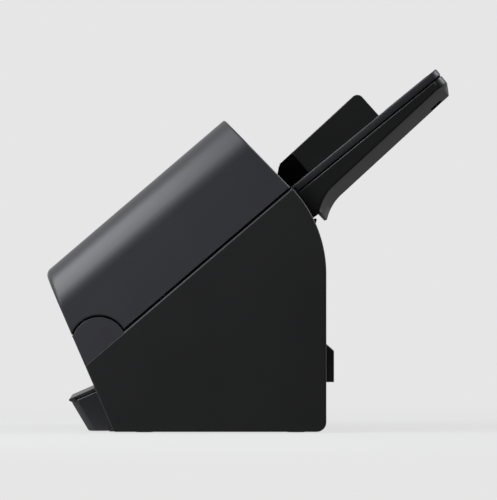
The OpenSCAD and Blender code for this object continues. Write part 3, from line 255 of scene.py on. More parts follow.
# Side covers. Each is one deep moulded cup of matt black plastic that clips over
# the steel side frame; its rim follows the back's long curve and the paper path.
SIDES = (("right", -1), ("left", 1))
PATH_ANGLE, FRONT_LEAN = math.radians(40.5), math.radians(23.4)
LEAN = PATH_ANGLE - FRONT_LEAN
hinge = next(j for j in frame["joints"] if j["name"] == "cover_hinge")["pos_m"]
HINGE_X, HINGE_Z = hinge[0] / MM, hinge[2] / MM
HINGE_RISE, FRONT_REACH = 3.8, 15.6  # how far the hinge is above the path and behind the front face
far_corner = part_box("left_side_cover")[1]
REAR_X, HALF_W = far_corner.x / MM, far_corner.y / MM
SIDE_DEPTH, WALL, SEAM, GROUND = 13.0, 2.4, 0.6, 0.8
SIDE_IN = HALF_W - SIDE_DEPTH
BACK_R, BACK_Z = 92.0, 116.0
HEEL_R, TOE_R, SEAM_R = 7.0, 2.0, 1.6
EDGE, BORDER = 1.4, 0.15
CREASE = math.radians(34)
MOTTLE = 0.16


def tilted(x, z, angle):
    """A frame tilted by an angle about an origin in x and z: it turns points given along it, across it
    and above it, in millimetres, into world places."""
    cos, sin = math.cos(angle), math.sin(angle)

    def place(along, across, up):
        along, across, up = np.broadcast_arrays(along, across, up)
        return np.stack([x + along * cos - up * sin, across * 1.0, z + along * sin + up * cos], -1)
    return place


upright = tilted(0, 0, 0)


def section(place, line, y):
    """World places of a section's line, drawn at y in the directions that place gives."""
    return place(line[:, 0], y, line[:, 1])


def front_s(n, depth=0.0):
    """Where the front face crosses the height n above the path."""
    return ((n - HINGE_RISE) * math.sin(LEAN) - FRONT_REACH + depth) / math.cos(LEAN)


def front_x(z, depth=0.0):
    """The front face's x at height z."""
    return HINGE_X - (FRONT_REACH - depth + (z - HINGE_Z) * math.sin(FRONT_LEAN)) / math.cos(FRONT_LEAN)


def arc(centre, radius, first, last, steps):
    """Points at equal angles on a circle, from one angle to another, in degrees."""
    a = np.radians(np.linspace(first, last, steps + 1))
    return np.asarray(centre, float) + radius * np.stack([np.cos(a), np.sin(a)], -1)


def fillet(before, tip, after, radius, steps=6):
    """Points of the arc of a radius that touches both sides of a corner. Its centre lies on the
    bisector, at radius / sin(half the corner's angle) from the tip."""
    before, tip, after = (np.asarray(p, float) for p in (before, tip, after))
    u = (before - tip) / np.linalg.norm(before - tip)
    v = (after - tip) / np.linalg.norm(after - tip)
    half = math.acos(float(np.clip(u @ v, -1, 1))) / 2
    middle = tip + (u + v) / np.linalg.norm(u + v) * radius / math.sin(half)
    p, q = tip + u * radius / math.tan(half) - middle, tip + v * radius / math.tan(half) - middle
    start = math.degrees(math.atan2(p[1], p[0]))
    turn = (math.degrees(math.atan2(q[1], q[0])) - start + 180) % 360 - 180
    return arc(middle, radius, start, start + turn, steps)


def inset(loop, depth):
    """A closed loop moved to its left by a depth. Each corner moves along the sum of its two sides'
    normals, stretched so that both sides move by the same depth."""
    ahead = np.roll(loop, -1, 0) - loop
    ahead = ahead / np.linalg.norm(ahead, axis=1, keepdims=True)
    normal = np.stack([-ahead[:, 1], ahead[:, 0]], -1)
    last = np.roll(normal, 1, 0)
    return loop + depth * (normal + last) / (1 + (normal * last).sum(1, keepdims=True))


def wound(loop, anticlockwise=True):
    """The loop with its points in anticlockwise order, or clockwise for a hole."""
    x, y = loop.T
    area = (x * np.roll(y, -1) - y * np.roll(x, -1)).sum()
    return loop if (area > 0) == anticlockwise else loop[::-1]


def lofted(rings, closed=False):
    """A skin over a stack of rings of equal count. Its two end rings are closed by a flat face each, or
    joined to each other. Returned as points, faces and the number of flat faces at the end."""
    rings = np.asarray(rings, float)
    ids = np.arange(rings.shape[0] * rings.shape[1]).reshape(rings.shape[:2])
    above = np.roll(ids, -1, 0) if closed else ids[1:]
    below = ids if closed else ids[:-1]
    sides = np.stack([below, np.roll(below, -1, 1), np.roll(above, -1, 1), above], -1).reshape(-1, 4)
    ends = [] if closed else [ids[0][::-1].tolist(), ids[-1].tolist()]
    return rings.reshape(-1, 3), sides.tolist() + ends, len(ends)


def rim(edge):
    """Insets and heights of a rounded rim: a quarter circle with a narrow flat border inside it."""
    a = np.radians([0, 30, 60, 90])
    return (np.concatenate([[edge + min(BORDER, edge)], edge * (1 - np.sin(a))]),
            np.concatenate([[0], edge * (1 - np.cos(a))]))


def cup(loop, way, edge, place):
    """A moulded cover for one side: a loop drawn across from its open rim to a closed face with a rounded
    edge, with the inner skin a wall's thickness inside. One stack of rings runs up the inside and down
    the outside."""
    loop = wound(np.asarray(loop, float))
    depth, rise = rim(edge)
    stack = [(WALL + BORDER, HALF_W - WALL), (WALL, HALF_W - WALL), (WALL, SIDE_IN), (0, SIDE_IN)]
    stack += [(d, HALF_W - r) for d, r in zip(depth[::-1], rise[::-1])]
    return lofted([section(place, inset(loop, d), way * y) for d, y in stack])


def piece(name, parts, body, finish, replaces=()):
    """One object from parts in millimetres, with its faces turned outwards and creases kept sharp. It
    rides on a body, takes its finish's material, and may stand for CAD nodes."""
    points, faces, flat, offset = [], [], [], 0
    for skin, sides, flats in parts:
        points.append(skin)
        faces += [[i + offset for i in f] for f in sides]
        flat += [False] * (len(sides) - flats) + [True] * flats
        offset += len(skin)
    mesh = bpy.data.meshes.new(name)
    mesh.from_pydata((np.concatenate(points) * MM).tolist(), [], faces)
    form = bmesh.new()
    form.from_mesh(mesh)
    bmesh.ops.recalc_face_normals(form, faces=form.faces[:])
    form.to_mesh(mesh)
    form.free()
    mesh.polygons.foreach_set("use_smooth", [not f for f in flat])
    mesh.set_sharp_from_angle(angle=CREASE)
    mesh.materials.append(finish.material)
    made = set_down(name, mesh)
    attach(made, body)
    if replaces:
        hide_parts(*replaces)
    return made


def shaded(colour, share):
    """A colour at a share of its brightness."""
    return tuple(c * share for c in colour[:3]) + (1,)


def moulded(name, slot, colour, roughness, grain=0.025, shine=0.5):
    """Moulded plastic. A fine spark-eroded grain tilts the surface; tone and sheen drift slowly over it,
    as handling leaves them."""
    made = Finish(name, slot)
    slow = made.noise(22, 3)
    fine = made.noise(1100, 2)
    made.put("Base Color", made.blend(slow * 0.6 + fine * 0.4, shaded(colour, 1 - MOTTLE),
                                      shaded(colour, 1 + MOTTLE)))
    made.put("Roughness", roughness - 0.05 + slow * 0.06 + fine * 0.04)
    made.put("Specular IOR Level", shine)
    made.bump(fine, 0.35, grain)
    return made


def side_line():
    """The side cover seen from the side: along the seam, down the front, along the ground, up the
    straight back and round its curve. The seam is the straight line SEAM below the path."""
    ahead = np.array([math.cos(PATH_ANGLE), math.sin(PATH_ANGLE)])
    upward = np.array([-ahead[1], ahead[0]])
    below = np.array([HINGE_X, HINGE_Z]) + upward * (-SEAM - HINGE_RISE)
    top_front = below + ahead * front_s(-SEAM)
    back_centre = np.array([REAR_X - BACK_R, BACK_Z])
    gap = below - back_centre
    top_rear = below + ahead * (math.sqrt(BACK_R ** 2 - (gap @ upward) ** 2) - gap @ ahead)
    rest = top_rear - back_centre
    curve = arc(back_centre, BACK_R, 0, math.degrees(math.atan2(rest[1], rest[0])), 48)
    low_front, low_rear = (front_x(GROUND), GROUND), (REAR_X, GROUND)
    return np.concatenate([fillet(top_rear, top_front, low_front, SEAM_R, 3),
                           fillet(top_front, low_front, low_rear, TOE_R, 4),
                           fillet(low_front, low_rear, (REAR_X, BACK_Z), HEEL_R),
                           curve[:-2],
                           fillet(curve[-3], top_rear, top_front, SEAM_R, 3)])


casing_black = moulded("casing_black", "matt_black", tint(13.5, 0.03), 0.50)
for side, way in SIDES:
    piece(f"{side}_side_panel", [cup(side_line(), way, EDGE, upright)],
          "base", casing_black, (f"{side}_side_cover",))

# Hinge caps. The two ends of the barrel that the cover turns round are dark grey
# mouldings, flush with the side covers. A strip of felt on the barrel closes the
# gap that the cover turns in.
BARREL_R, CAP_LAP, CAP_EDGE, CAP_CORNER_R = 20.1, 0.9, 0.28, 0.7
FELT_R, FELT_SUNK, FELT_Y, FELT_TURN = 21.15, 0.4, (118, 124), (5, 125)
on_path = tilted(HINGE_X + HINGE_RISE * math.sin(PATH_ANGLE),
                 HINGE_Z - HINGE_RISE * math.cos(PATH_ANGLE), PATH_ANGLE)


def sideways(place):
    """The same places for a flat piece that is drawn along and up, and has its thickness across."""
    return lambda along, up, across: place(along, across, up)


def span(way, near, far):
    """The part of the width from near to far on one side of the middle, its lower end first."""
    return sorted((way * near, way * far))


def plate(loops, low, high, edge, place):
    """A flat piece: closed loops, the outer one first and holes after it, drawn from low to high, with
    rounded rims at both faces. place turns the loop's two coordinates and the height into world places."""
    depth, rise = rim(edge)
    depth = np.concatenate([depth, depth[::-1]])
    level = np.concatenate([low + rise, high - rise[::-1]])
    points, faces, offset, first, last = [], [], 0, [], []
    for k, loop in enumerate(loops):
        loop = wound(np.asarray(loop, float), k == 0)
        rings = np.stack([inset(loop, d) for d in depth])
        skin, sides, _ = lofted(place(rings[..., 0], rings[..., 1], level[:, None]))
        points.append(skin)
        faces += [[i + offset for i in f] for f in sides[:-2]]
        first.append((rings[0], offset + np.arange(len(loop))))
        last.append((rings[-1], offset + len(skin) - len(loop) + np.arange(len(loop))))
        offset += len(skin)
    flats = 0
    for caps, flip in ((first, True), (last, False)):
        ids = np.concatenate([c[1] for c in caps])
        if len(caps) == 1:
            cut = [ids.tolist()]
        else:
            outlines = [[Vector((p[0], p[1], 0)) for p in c[0]] for c in caps]
            cut = [ids[list(t)].tolist() for t in tessellate_polygon(outlines)]
        faces += [c[::-1] if flip else c for c in cut]
        flats += len(cut)
    return np.concatenate(points), faces, flats


def patterned(name, slot, scale, detail, dark, light, roughness, spread, relief=None):
    """A finish with soft random spots. Its colour goes from dark to light with them and its roughness up
    by a spread; relief, a strength and a depth in millimetres, makes them stand out."""
    made = Finish(name, slot)
    spots = made.noise(scale, detail)
    made.put("Base Color", made.blend(spots, dark, light))
    made.put("Roughness", roughness + spots * spread)
    if relief:
        made.bump(spots, *relief)
    return made


def barrel_line(depth, low):
    """The barrel's section: a circle cut off by the front face and by the seam."""
    r = BARREL_R - depth
    chord = math.degrees(math.acos((FRONT_REACH - depth) / r))
    low_end = math.degrees(math.asin((low - HINGE_RISE) / r))
    curve = arc((0, HINGE_RISE), r, low_end, 180 - math.degrees(LEAN) - chord, 30)
    foot = (front_s(low, depth), low)
    corners = ((curve[-2], curve[-1], foot), (curve[-1], foot, curve[0]), (foot, curve[0], curve[1]))
    return np.concatenate([fillet(*corner, CAP_CORNER_R, 2) for corner in corners] + [curve[1:-1]])


cover_grey = moulded("cover_grey", "satin_dark_grey", tint(41, 0.09), 0.41)
cap_line = barrel_line(0, -SEAM - CAP_LAP)
for side, way in SIDES:
    piece(f"{side}_barrel_end", [cup(cap_line, way, CAP_EDGE, on_path)],
          "base", cover_grey, (f"{side}_hinge_cap",))
felt = patterned("black_felt", "black_rubber", 500, 4, tint(6), tint(16), 0.9, 0.1, (0.7, 0.15))
band = np.concatenate([arc((0, HINGE_RISE), FELT_R, *FELT_TURN, 40),
                       arc((0, HINGE_RISE), BARREL_R - FELT_SUNK, *FELT_TURN[::-1], 40)])
piece("barrel_felts", [plate([band], *span(way, *FELT_Y), 0.1, sideways(on_path)) for _, way in SIDES],
      "base", felt)

# Cover shell. One large dark grey moulding: a long box with generously rounded
# upper edges, open below, cut out for the control panel, the paper and the arms.
COVER_H, COVER_R, COVER_END = 69.5, 28.0, 180.694  # height, radius of the long edges, rear end
NOSE_R, REAR_R, SWEEP_R = 6.0, 1.6, 21.3  # front edge, rear edge, hollow round the barrel
END_TILT = math.radians(3.7)
SLOT_HALF = 4.5
THROAT_N, THROAT_Y = 26.0, 124.1
PULL_N, PULL_Y = 64.0, 24.0
PANEL_S, PANEL_Y = (16.0, 56.0), 58.0
ARM_YS = (132.0, 142.0)


def cover_line(depth, top, floor):
    """The cover's section from the foot of the barrel's hollow, up the front, along the top and down the
    rear, all moved inwards by a depth. Every section has its points in the same order."""
    r = SWEEP_R + depth
    tip = 180 - math.degrees(LEAN) - math.degrees(math.acos((FRONT_REACH - depth) / r))
    foot = math.degrees(math.asin((floor - HINGE_RISE) / r))
    slots = [math.degrees(math.acos(k * SLOT_HALF / r)) for k in (1, -1)]
    a = np.radians(np.concatenate([np.linspace(foot, slots[0], 11), np.linspace(*slots, 4)[1:],
                                   np.linspace(slots[1], tip, 4)[1:]]))
    hollow = np.array([0, HINGE_RISE]) + r * np.stack([np.cos(a), np.sin(a)], -1)

    def rear_s(n):
        return COVER_END - (n - SEAM) * math.tan(END_TILT) - depth / math.cos(END_TILT)
    high_front, high_rear = (front_s(top, depth), top), (rear_s(top), top)
    nose = fillet(hollow[-1], high_front, high_rear, max(NOSE_R - depth, 0.5), 8)
    crest = fillet(high_front, high_rear, (rear_s(floor), floor), max(REAR_R - depth, 0.4), 3)
    down = [(rear_s(n), n) for n in (min(PULL_N, crest[-1][1] - 1), THROAT_N, floor)]
    return np.concatenate([hollow, nose, [(s, top) for s in PANEL_S], crest, down])


def cover_rows():
    """Rows across the cover: the place, top and inset of the outer skin, and the place and top of the
    inner one. They are flat in the middle and turn down round the long edge on each side."""
    bend_y, bend_n, inner_r = HALF_W - COVER_R, COVER_H - COVER_R, COVER_R - WALL
    arm_turn = math.degrees(math.asin((ARM_YS[0] - bend_y) / COVER_R))
    turns = np.radians([0, arm_turn, 15, 22.5, 30, *np.linspace(36, 71, 8)])
    rounding = np.radians(np.linspace(0, 90, 6))
    edge_turns = np.arcsin((COVER_R - EDGE + EDGE * np.sin(rounding)) / COVER_R)
    depths = np.concatenate([np.zeros(len(turns)), EDGE * (1 - np.cos(rounding))])
    half = [(y, COVER_H, 0.0, y, COVER_H - WALL) for y in (PULL_Y, PANEL_Y, 95.0, THROAT_Y)]
    half += [(bend_y + COVER_R * math.sin(t), bend_n + COVER_R * math.cos(t), d,
              bend_y + inner_r * math.sin(t), bend_n + inner_r * math.cos(t))
             for t, d in zip(np.concatenate([turns, edge_turns]), depths)]
    half.append((HALF_W, bend_n - BORDER, EDGE + BORDER, HALF_W - WALL, bend_n - BORDER))
    return [(-y, top, d, -y_in, top_in) for y, top, d, y_in, top_in in half[::-1]] + half


def cover_openings(ys):
    """The cells of the cover's grid that are cut out: the paper's throat and the finger pull in the rear,
    the panel in the top, and the arms' slots in the barrel's hollow."""
    line = cover_line(0, COVER_H, SEAM)
    s, n = ((line[1:] + line[:-1]) / 2).T
    y = np.abs((ys[1:] + ys[:-1]) / 2)[:, None]
    on_rear = (s > 100) & (n < COVER_H - REAR_R)
    on_panel = (np.abs(n - COVER_H) < 0.01) & (s > PANEL_S[0]) & (s < PANEL_S[1])
    in_slot = (np.abs(s) < SLOT_HALF) & (n < SWEEP_R + HINGE_RISE + 1)
    return ((y < THROAT_Y) & on_rear & (n < THROAT_N) | (y < PULL_Y) & on_rear & (n < PULL_N)
            | (y < PANEL_Y) & on_panel | (y > ARM_YS[0]) & (y < ARM_YS[1]) & in_slot)


def walled(outer, inner, gone):
    """A skin of one wall's thickness: the outer grid, the inner grid turned over, and a strip along every
    edge that only one kept cell has, which are the rims of the openings and of the open side."""
    ids = np.arange(outer.shape[0] * outer.shape[1]).reshape(outer.shape[:2])
    cells = np.stack([ids[:-1, :-1], ids[:-1, 1:], ids[1:, 1:], ids[1:, :-1]], -1)[~gone]
    faces = cells.tolist() + [ids[0][::-1].tolist(), ids[-1].tolist()]
    directed = {(a, b) for f in faces for a, b in zip(f, f[1:] + f[:1])}
    size = ids.size
    strips = [[b, a, a + size, b + size] for a, b in directed if (b, a) not in directed]
    lining = [[i + size for i in f[::-1]] for f in faces]
    skin = np.concatenate([outer.reshape(-1, 3), inner.reshape(-1, 3)])
    return skin, faces[:-2] + lining[:-2] + sorted(strips) + faces[-2:] + lining[-2:], 4


rows = cover_rows()
outer_skin = np.array([section(on_path, cover_line(depth, top, SEAM + 0.35 * depth), y)
                       for y, top, depth, _, _ in rows])
inner_skin = np.array([section(on_path, cover_line(WALL, top, SEAM), y) for _, _, _, y, top in rows])
openings = cover_openings(np.array([row[0] for row in rows]))
piece("cover_moulding", [walled(outer_skin, inner_skin, openings)], "cover", cover_grey,
      ("cover_shell",))

# Plain mouldings and pressings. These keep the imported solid's form; each gets the
# small radius that its mould or press leaves along every edge.
EASED_CREASE = math.radians(28)


def eased(node, width, finish, body, segments=2):
    """The node's own form with its edges rounded: a copy of its triangles is welded, flat faces are made
    whole, and a bevel of a width in millimetres follows every edge that turns more than EASED_CREASE."""
    mesh = nodes[node].data.copy()
    form = bmesh.new()
    form.from_mesh(mesh)
    bmesh.ops.remove_doubles(form, verts=form.verts[:], dist=2e-6)
    bmesh.ops.dissolve_limit(form, angle_limit=math.radians(0.6), verts=form.verts[:], edges=form.edges[:])
    form.to_mesh(mesh)
    form.free()
    mesh.materials.clear()
    mesh.materials.append(finish.material)
    mesh.shade_smooth()
    mesh.set_sharp_from_angle(angle=EASED_CREASE)
    made = set_down(f"{node}_form", mesh)
    ease = made.modifiers.new("edges", "BEVEL")
    ease.width = width * MM
    ease.segments = segments
    ease.limit_method = "ANGLE"
    ease.angle_limit = EASED_CREASE
    ease.harden_normals = True
    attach(made, body)
    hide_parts(node)


deep_black = moulded("deep_black", "deep_black", tint(11), 0.42, 0.012)
tray_grey = moulded("tray_grey", "tray_grey", tint(31, 0.06), 0.42, 0.012)
eased("exit_cover", 0.5, cover_grey, "base")
eased("front_panel", 0.4, casing_black, "base")
eased("base_pan", 0.4, casing_black, "base")
eased("rear_cover", 0.6, deep_black, "base")
eased("connector_block", 0.9, moulded("socket_black", "deep_black", tint(24), 0.45), "base", segments=3)
eased("release_lever", 0.6, casing_black, "latch")
eased("tray_extension", 0.5, tray_grey, "input_extension")
eased("output_tray", 0.3, casing_black, "output_stage")

# Output block. The front of the output tray, dark grey and hollow from below. Its two
# front corners are cut, and an ear at each end carries the paper stop.
on_front = tilted(-112.115, 32.6, FRONT_LEAN)
BLOCK_HALF, BLOCK_TOP, BLOCK_NOSE, BLOCK_IN = 118.0, -2.8, -20.5, 12.0
BLOCK_LEAN = math.radians(30.8)
BLOCK_CUT, BLOCK_EDGE = 4.0, 0.7
BLOCK_HOLLOW = ((-114.2, -110, -1), (-104.8, 110, 19))
HEEL_GAP, HEEL_LIFT = 0.3, 4.0
TONGUE_X, TONGUE_Z, TONGUE_HALF = (front_x(GROUND) - 3, REAR_X - 18.4), (5.8, 7.8), 111.5
EAR_NOSE, EAR_BACK, EAR_T = -21.8, -16.8, 2.35


def both_halves(stations):
    """Stations across the whole width, from those of its left half, of which the first is the middle."""
    return [(-y, *rest) for y, *rest in stations[:0:-1]] + stations


def drawn_across(place, line_at, stations):
    """A form drawn across the width. A station is its place and the numbers that its section takes."""
    return lofted([section(place, line_at(*rest), y) for y, *rest in stations])


def cutter(place, low, high):
    """A plain block in the directions that place gives, for cutting a pocket; it isn't kept."""
    a, b, c = np.meshgrid(*zip(low, high), indexing="ij")
    mesh = bpy.data.meshes.new("cutter")
    mesh.from_pydata((place(a.ravel(), b.ravel(), c.ravel()) * MM).tolist(), [],
                     [(0, 1, 3, 2), (4, 6, 7, 5), (0, 4, 5, 1), (2, 3, 7, 6), (0, 2, 6, 4), (1, 5, 7, 3)])
    return set_down("cutter", mesh)


def pocketed(made, place, blocks):
    """Cuts the blocks out of a piece."""
    tools = [cutter(place, *b) for b in blocks]
    for tool in tools:
        cut = made.modifiers.new("pocket", "BOOLEAN")
        cut.operation = "DIFFERENCE"
        cut.solver = "EXACT"
        cut.object = tool
    shaped = bpy.data.meshes.new_from_object(made.evaluated_get(bpy.context.evaluated_depsgraph_get()))
    made.modifiers.clear()
    whole, made.data = made.data, shaped
    bpy.data.meshes.remove(whole)
    for tool in tools:
        bpy.data.objects.remove(tool)
    made.data.set_sharp_from_angle(angle=CREASE)


def oblong(a, b):
    """The corners of a rectangle, from its extent in two directions."""
    return [(a[0], b[0]), (a[1], b[0]), (a[1], b[1]), (a[0], b[1])]


def filleted(corners, radii, steps):
    """A closed line round corners, each rounded to its radius in its steps, or sharp where that is 0."""
    after = [*corners[1:], corners[0]]
    return np.concatenate([fillet(corners[i - 1], tip, after[i], radii[i], steps[i]) if radii[i] else [tip]
                           for i, tip in enumerate(corners)])


def block_line(back, depth):
    """The block's section: its front face is moved back, then the whole line moves inwards."""
    nose = on_front(BLOCK_NOSE + back / math.cos(BLOCK_LEAN - FRONT_LEAN), 0, BLOCK_TOP)[[0, 2]]
    rear = on_front(BLOCK_IN, 0, BLOCK_TOP)[[0, 2]]
    foot = (nose[0] + (nose[1] - GROUND) * math.tan(BLOCK_LEAN), GROUND)
    heel = front_x(GROUND) - HEEL_GAP
    under, over = (heel - HEEL_LIFT, GROUND), (heel, GROUND + HEEL_LIFT)
    step, low_rear = (heel, TONGUE_Z[0]), (rear[0], TONGUE_Z[0])
    loop = filleted([nose, foot, under, over, step, low_rear, rear],
                    (0.9, 2.0, 0.9, 0.9, 0, 0.9, 0.9), (3, 4, 3, 3, 0, 3, 3))
    return inset(wound(loop), depth)


def ear(way):
    """An ear from its foot to its top: its outer front corner is cut like the block's, and its nose
    moves forward with height and back again at the rounded top."""
    out, near = BLOCK_HALF - 0.05, BLOCK_HALF - EAR_T
    rings = []
    for m, back in ((BLOCK_TOP - 0.3, 1.8), (BLOCK_TOP + 0.2, 1.3), (-1.3, 0.0), (-0.3, 0.2), (0, 0.7)):
        nose = EAR_NOSE + back
        ring = np.array([(EAR_BACK - 0.7, out), (EAR_BACK, out), (EAR_BACK, near),
                         (nose, near), (nose, near + 0.3)])
        rings.append(on_front(ring[:, 0], way * ring[:, 1], m))
    return lofted(rings)


output_grey = moulded("output_grey", "matt_black", tint(24, 0.08), 0.45)
block_stations = both_halves([
    (0, 0, 0), (70, 0, 0), (BLOCK_HALF - BLOCK_CUT - 0.6, 0, 0), (BLOCK_HALF - BLOCK_CUT + 0.3, 0.4, 0),
    (BLOCK_HALF - 0.7, BLOCK_CUT - 0.7, 0), (BLOCK_HALF - 0.2, BLOCK_CUT, 0.2),
    (BLOCK_HALF, BLOCK_CUT, BLOCK_EDGE), (BLOCK_HALF, BLOCK_CUT, BLOCK_EDGE + 0.1)])
block = piece("output_block", [drawn_across(upright, block_line, block_stations)],
              "output_front", output_grey, ("output_extension",))
pocketed(block, upright, [BLOCK_HOLLOW])
piece("output_slide", [plate([oblong(TONGUE_X, (-TONGUE_HALF, TONGUE_HALF))], *TONGUE_Z, 0.3, upright)],
      "output_front", output_grey)
piece("stop_ears", [ear(-1), ear(1)], "output_front", output_grey)

# Paper stop. A plate over the output block, hinged in its ears and crowned a little
# across the width, so that it can be lifted at its middle.
CROWN, CROWN_HALF, CROWN_T, CROWN_FOOT = 1.3, 114.6, (-20.9, -1.2), -0.6


def crown_line(y):
    """The crown's section at y: its top rises with a parabola towards the middle."""
    high = max(CROWN * (1 - (y / CROWN_HALF) ** 2), 0.03)
    ease = min(high, 0.5)
    front, rear = CROWN_T
    return np.array([(front, CROWN_FOOT), (front, high - ease), (front + ease, high),
                     (rear - ease, high), (rear, high - ease), (rear, CROWN_FOOT)])


eased("paper_stop", 0.4, tray_grey, "stop_plate")
crown_stations = [(y, y) for y in np.linspace(-CROWN_HALF, CROWN_HALF, 41)]
piece("stop_crown", [drawn_across(on_front, crown_line, crown_stations)], "stop_plate", tray_grey)

# Toe of the base pan. A moulded lip across the front runs out under the output block's
# heel; four low ribs on its slope close the joint between the two.
TOE_H, TOE_OUT = 2.6, 3.75
TOE_RIB_YS, TOE_RIB_HALF = (-116, -40, 40, 116), 0.8


def either_side(middle, reach):
    """The extent that reaches equally far to both sides of a middle."""
    return middle - reach, middle + reach


toe_x, toe_top_x, toe_top = front_x(GROUND), front_x(GROUND + TOE_H), GROUND + TOE_H
lip_line = [(toe_x - TOE_OUT, GROUND + 0.05), (toe_x + 6, GROUND + 0.05), (toe_x + 6, toe_top),
            (toe_top_x + 0.3, toe_top)]
rib_line = [(toe_x - TOE_OUT, GROUND + 0.1), (toe_x - TOE_OUT + 1, GROUND + 0.1),
            (toe_top_x + 0.8, toe_top - 0.5), (toe_top_x - 0.1, toe_top),
            (toe_x - TOE_OUT - 0.35, GROUND + 0.35)]
piece("pan_lip", [plate([lip_line], 0.4 - SIDE_IN, SIDE_IN - 0.4, 0.2, sideways(upright))]
      + [plate([rib_line], *either_side(y, TOE_RIB_HALF), 0.1, sideways(upright)) for y in TOE_RIB_YS],
      "base", casing_black)

# Front closings. Black cheeks beside the output block close the front below the paper
# exit, a rim hides each side frame's edge in the barrel, and a drum on each hinge arm
# fills the slot that the arm swings in.
CHEEK_Y, CHEEK_Z, CHEEK_DEPTH = (119.2, 142.4), (3.1, 35.4), (3.5, 5.3)
RIM_Y, RIM_W, RIM_DEPTH = (130.2, 132.4), 3.0, 0.7
DRUM_Y, DRUM_R = (132.8, 141.2), 13.2


def turned(outline, place, steps=48, closed=False):
    """A turned form: each point of the outline, a distance along the axis and a radius, goes round the
    axis at equal angles. place turns along, radius x cosine and radius x sine into world places."""
    along, radius = np.asarray(outline, float).T
    a = np.radians(np.arange(steps) * 360 / steps)
    return lofted(place(along[:, None], radius[:, None] * np.cos(a), radius[:, None] * np.sin(a)), closed)


def crosswise(place, along, up):
    """Places round an axis that runs across the width, through a point along and up."""
    return lambda across, u, v: place(along + u, across, up + v)


cheek_line = [(front_x(z, depth), z) for depth, z in oblong(CHEEK_DEPTH, CHEEK_Z)]
rim_lines = [barrel_line(RIM_DEPTH, -SEAM - 0.3), barrel_line(RIM_DEPTH + RIM_W, RIM_W - 0.5)]
drum_line = [(DRUM_Y[0], DRUM_R - 0.5), (DRUM_Y[0] + 0.4, DRUM_R), (DRUM_Y[1] - 0.4, DRUM_R),
             (DRUM_Y[1], DRUM_R - 0.5)]
for side, way in SIDES:
    cheek = plate([cheek_line], *span(way, *CHEEK_Y), 0.4, sideways(upright))
    frame_rim = plate(rim_lines, *span(way, *RIM_Y), 0.2, sideways(on_path))
    drum = turned([(way * y, r) for y, r in drum_line], crosswise(upright, HINGE_X, HINGE_Z), 64)
    piece(f"{side}_front_cheek", [cheek], "base", casing_black)
    piece(f"{side}_frame_rim", [frame_rim], "base", casing_black)
    piece(f"{side}_hinge_drum", [drum], "cover", casing_black)

# Light seals. A strip of black foam rubber is glued on each side cover's rim and
# closes the seam under the cover, so that no daylight reaches the scanning glass.
SEAL_S, SEAL_Y = (23.0, 182.7), (144.5, 151.5)
foam = Finish("foam_rubber", "black_rubber")
cells = foam.node("ShaderNodeTexVoronoi", {}, {"Vector": foam.place, "Scale": 900.0}, "Distance")
foam.put("Base Color", foam.blend(cells, tint(10), tint(22)))
foam.put("Roughness", 0.85 + cells * 0.1)
foam.bump(cells, 0.6, 0.2)
for side, way in SIDES:
    strip = oblong(SEAL_S, span(way, *SEAL_Y))
    piece(f"{side}_light_seal", [plate([strip], -SEAM, SEAM - 0.12, 0.3, on_path)], "base", foam)

# Input tray housing. The deep black moulding under the tray plate: its lower edges
# are bevelled, its root curves down to the rear cover, and it is hollow for the
# racks and the extension, with two finger notches under the end.
on_tray = tilted(32.3794, 180.58, math.radians(39.25))
TRAY_LEN, TRAY_HALF, TRAY_R = 136.0, 125.0, 8.0
CORNER_T = TRAY_LEN - TRAY_R
HOUSING_TOP, HOUSING_LIP, HOUSING_END, HOUSING_ROOT = -6.6, -13.2, -21.4, -28.2
BEND_T, BEND_R, TAIL = 14.3, 35.0, (3.96, -35.2)
BEVEL_W, BEVEL_H = 12.0, 9.0
RACK_BAY_Y, EXTENSION_Y = 111.1, 100.4


def housing_line(end, lift, depth):
    """The housing's section: its top and root, the slope of its end, and the curved underside, which is
    lifted by the bevel; everything then moves inwards by a depth."""
    heel, bend, tail = np.array([(end - 5, HOUSING_END), (BEND_T, HOUSING_ROOT), TAIL]) + (0, lift)
    lip, top_end = (end, HOUSING_LIP), (end, HOUSING_TOP)
    under = fillet(heel, bend, tail, BEND_R, 12)
    under[:, 0] = np.clip(under[:, 0], tail[0] + 0.2, None)
    loop = np.concatenate([[(1.0, HOUSING_TOP), (-4.4, -27.7), (3.46, HOUSING_ROOT), tail], under[::-1],
                           fillet(bend, heel, lip, 1.2, 3), fillet(heel, lip, top_end, 2.0, 3), [top_end]])
    return inset(wound(loop), depth)


rounding = np.radians(np.linspace(0, 90, 7))[1:-1]
housing_stations = [(y, CORNER_T + math.sqrt(TRAY_R ** 2 - max(y - TRAY_HALF + TRAY_R, 0) ** 2),
                     max(y - TRAY_HALF + BEVEL_W, 0) * BEVEL_H / BEVEL_W, 0.0)
                    for y in (0, 60, TRAY_HALF - BEVEL_W, *(TRAY_HALF - TRAY_R + TRAY_R * np.sin(rounding)))]
housing_stations += [(TRAY_HALF - 0.12, CORNER_T + 1.4, BEVEL_H - 0.09, 0.12),
                     (TRAY_HALF, CORNER_T, BEVEL_H, 0.45), (TRAY_HALF, CORNER_T, BEVEL_H, 0.9)]
underbody = piece("tray_underbody", [drawn_across(on_tray, housing_line, both_halves(housing_stations))],
                  "base", deep_black, ("tray_housing",))
pocketed(underbody, on_tray, [
    ((20, -EXTENSION_Y, -19.2), (133, EXTENSION_Y, -5)),     # the hollow over the extension
    ((26.5, -RACK_BAY_Y, -11), (62.5, RACK_BAY_Y, -5)),      # the racks' bay
    ((20, -EXTENSION_Y, -15.8), (140, EXTENSION_Y, -12.8)),  # the mouth that the extension slides out of
    ((114.5, -115.4, -40), (124.5, -78, -19)),               # the finger notches
    ((114.5, 78, -40), (124.5, 115.4, -19))])
seats = [oblong((-0.6, TRAY_LEN - 1), span(way, EXTENSION_Y + 1, TRAY_HALF - 5)) for _, way in SIDES]
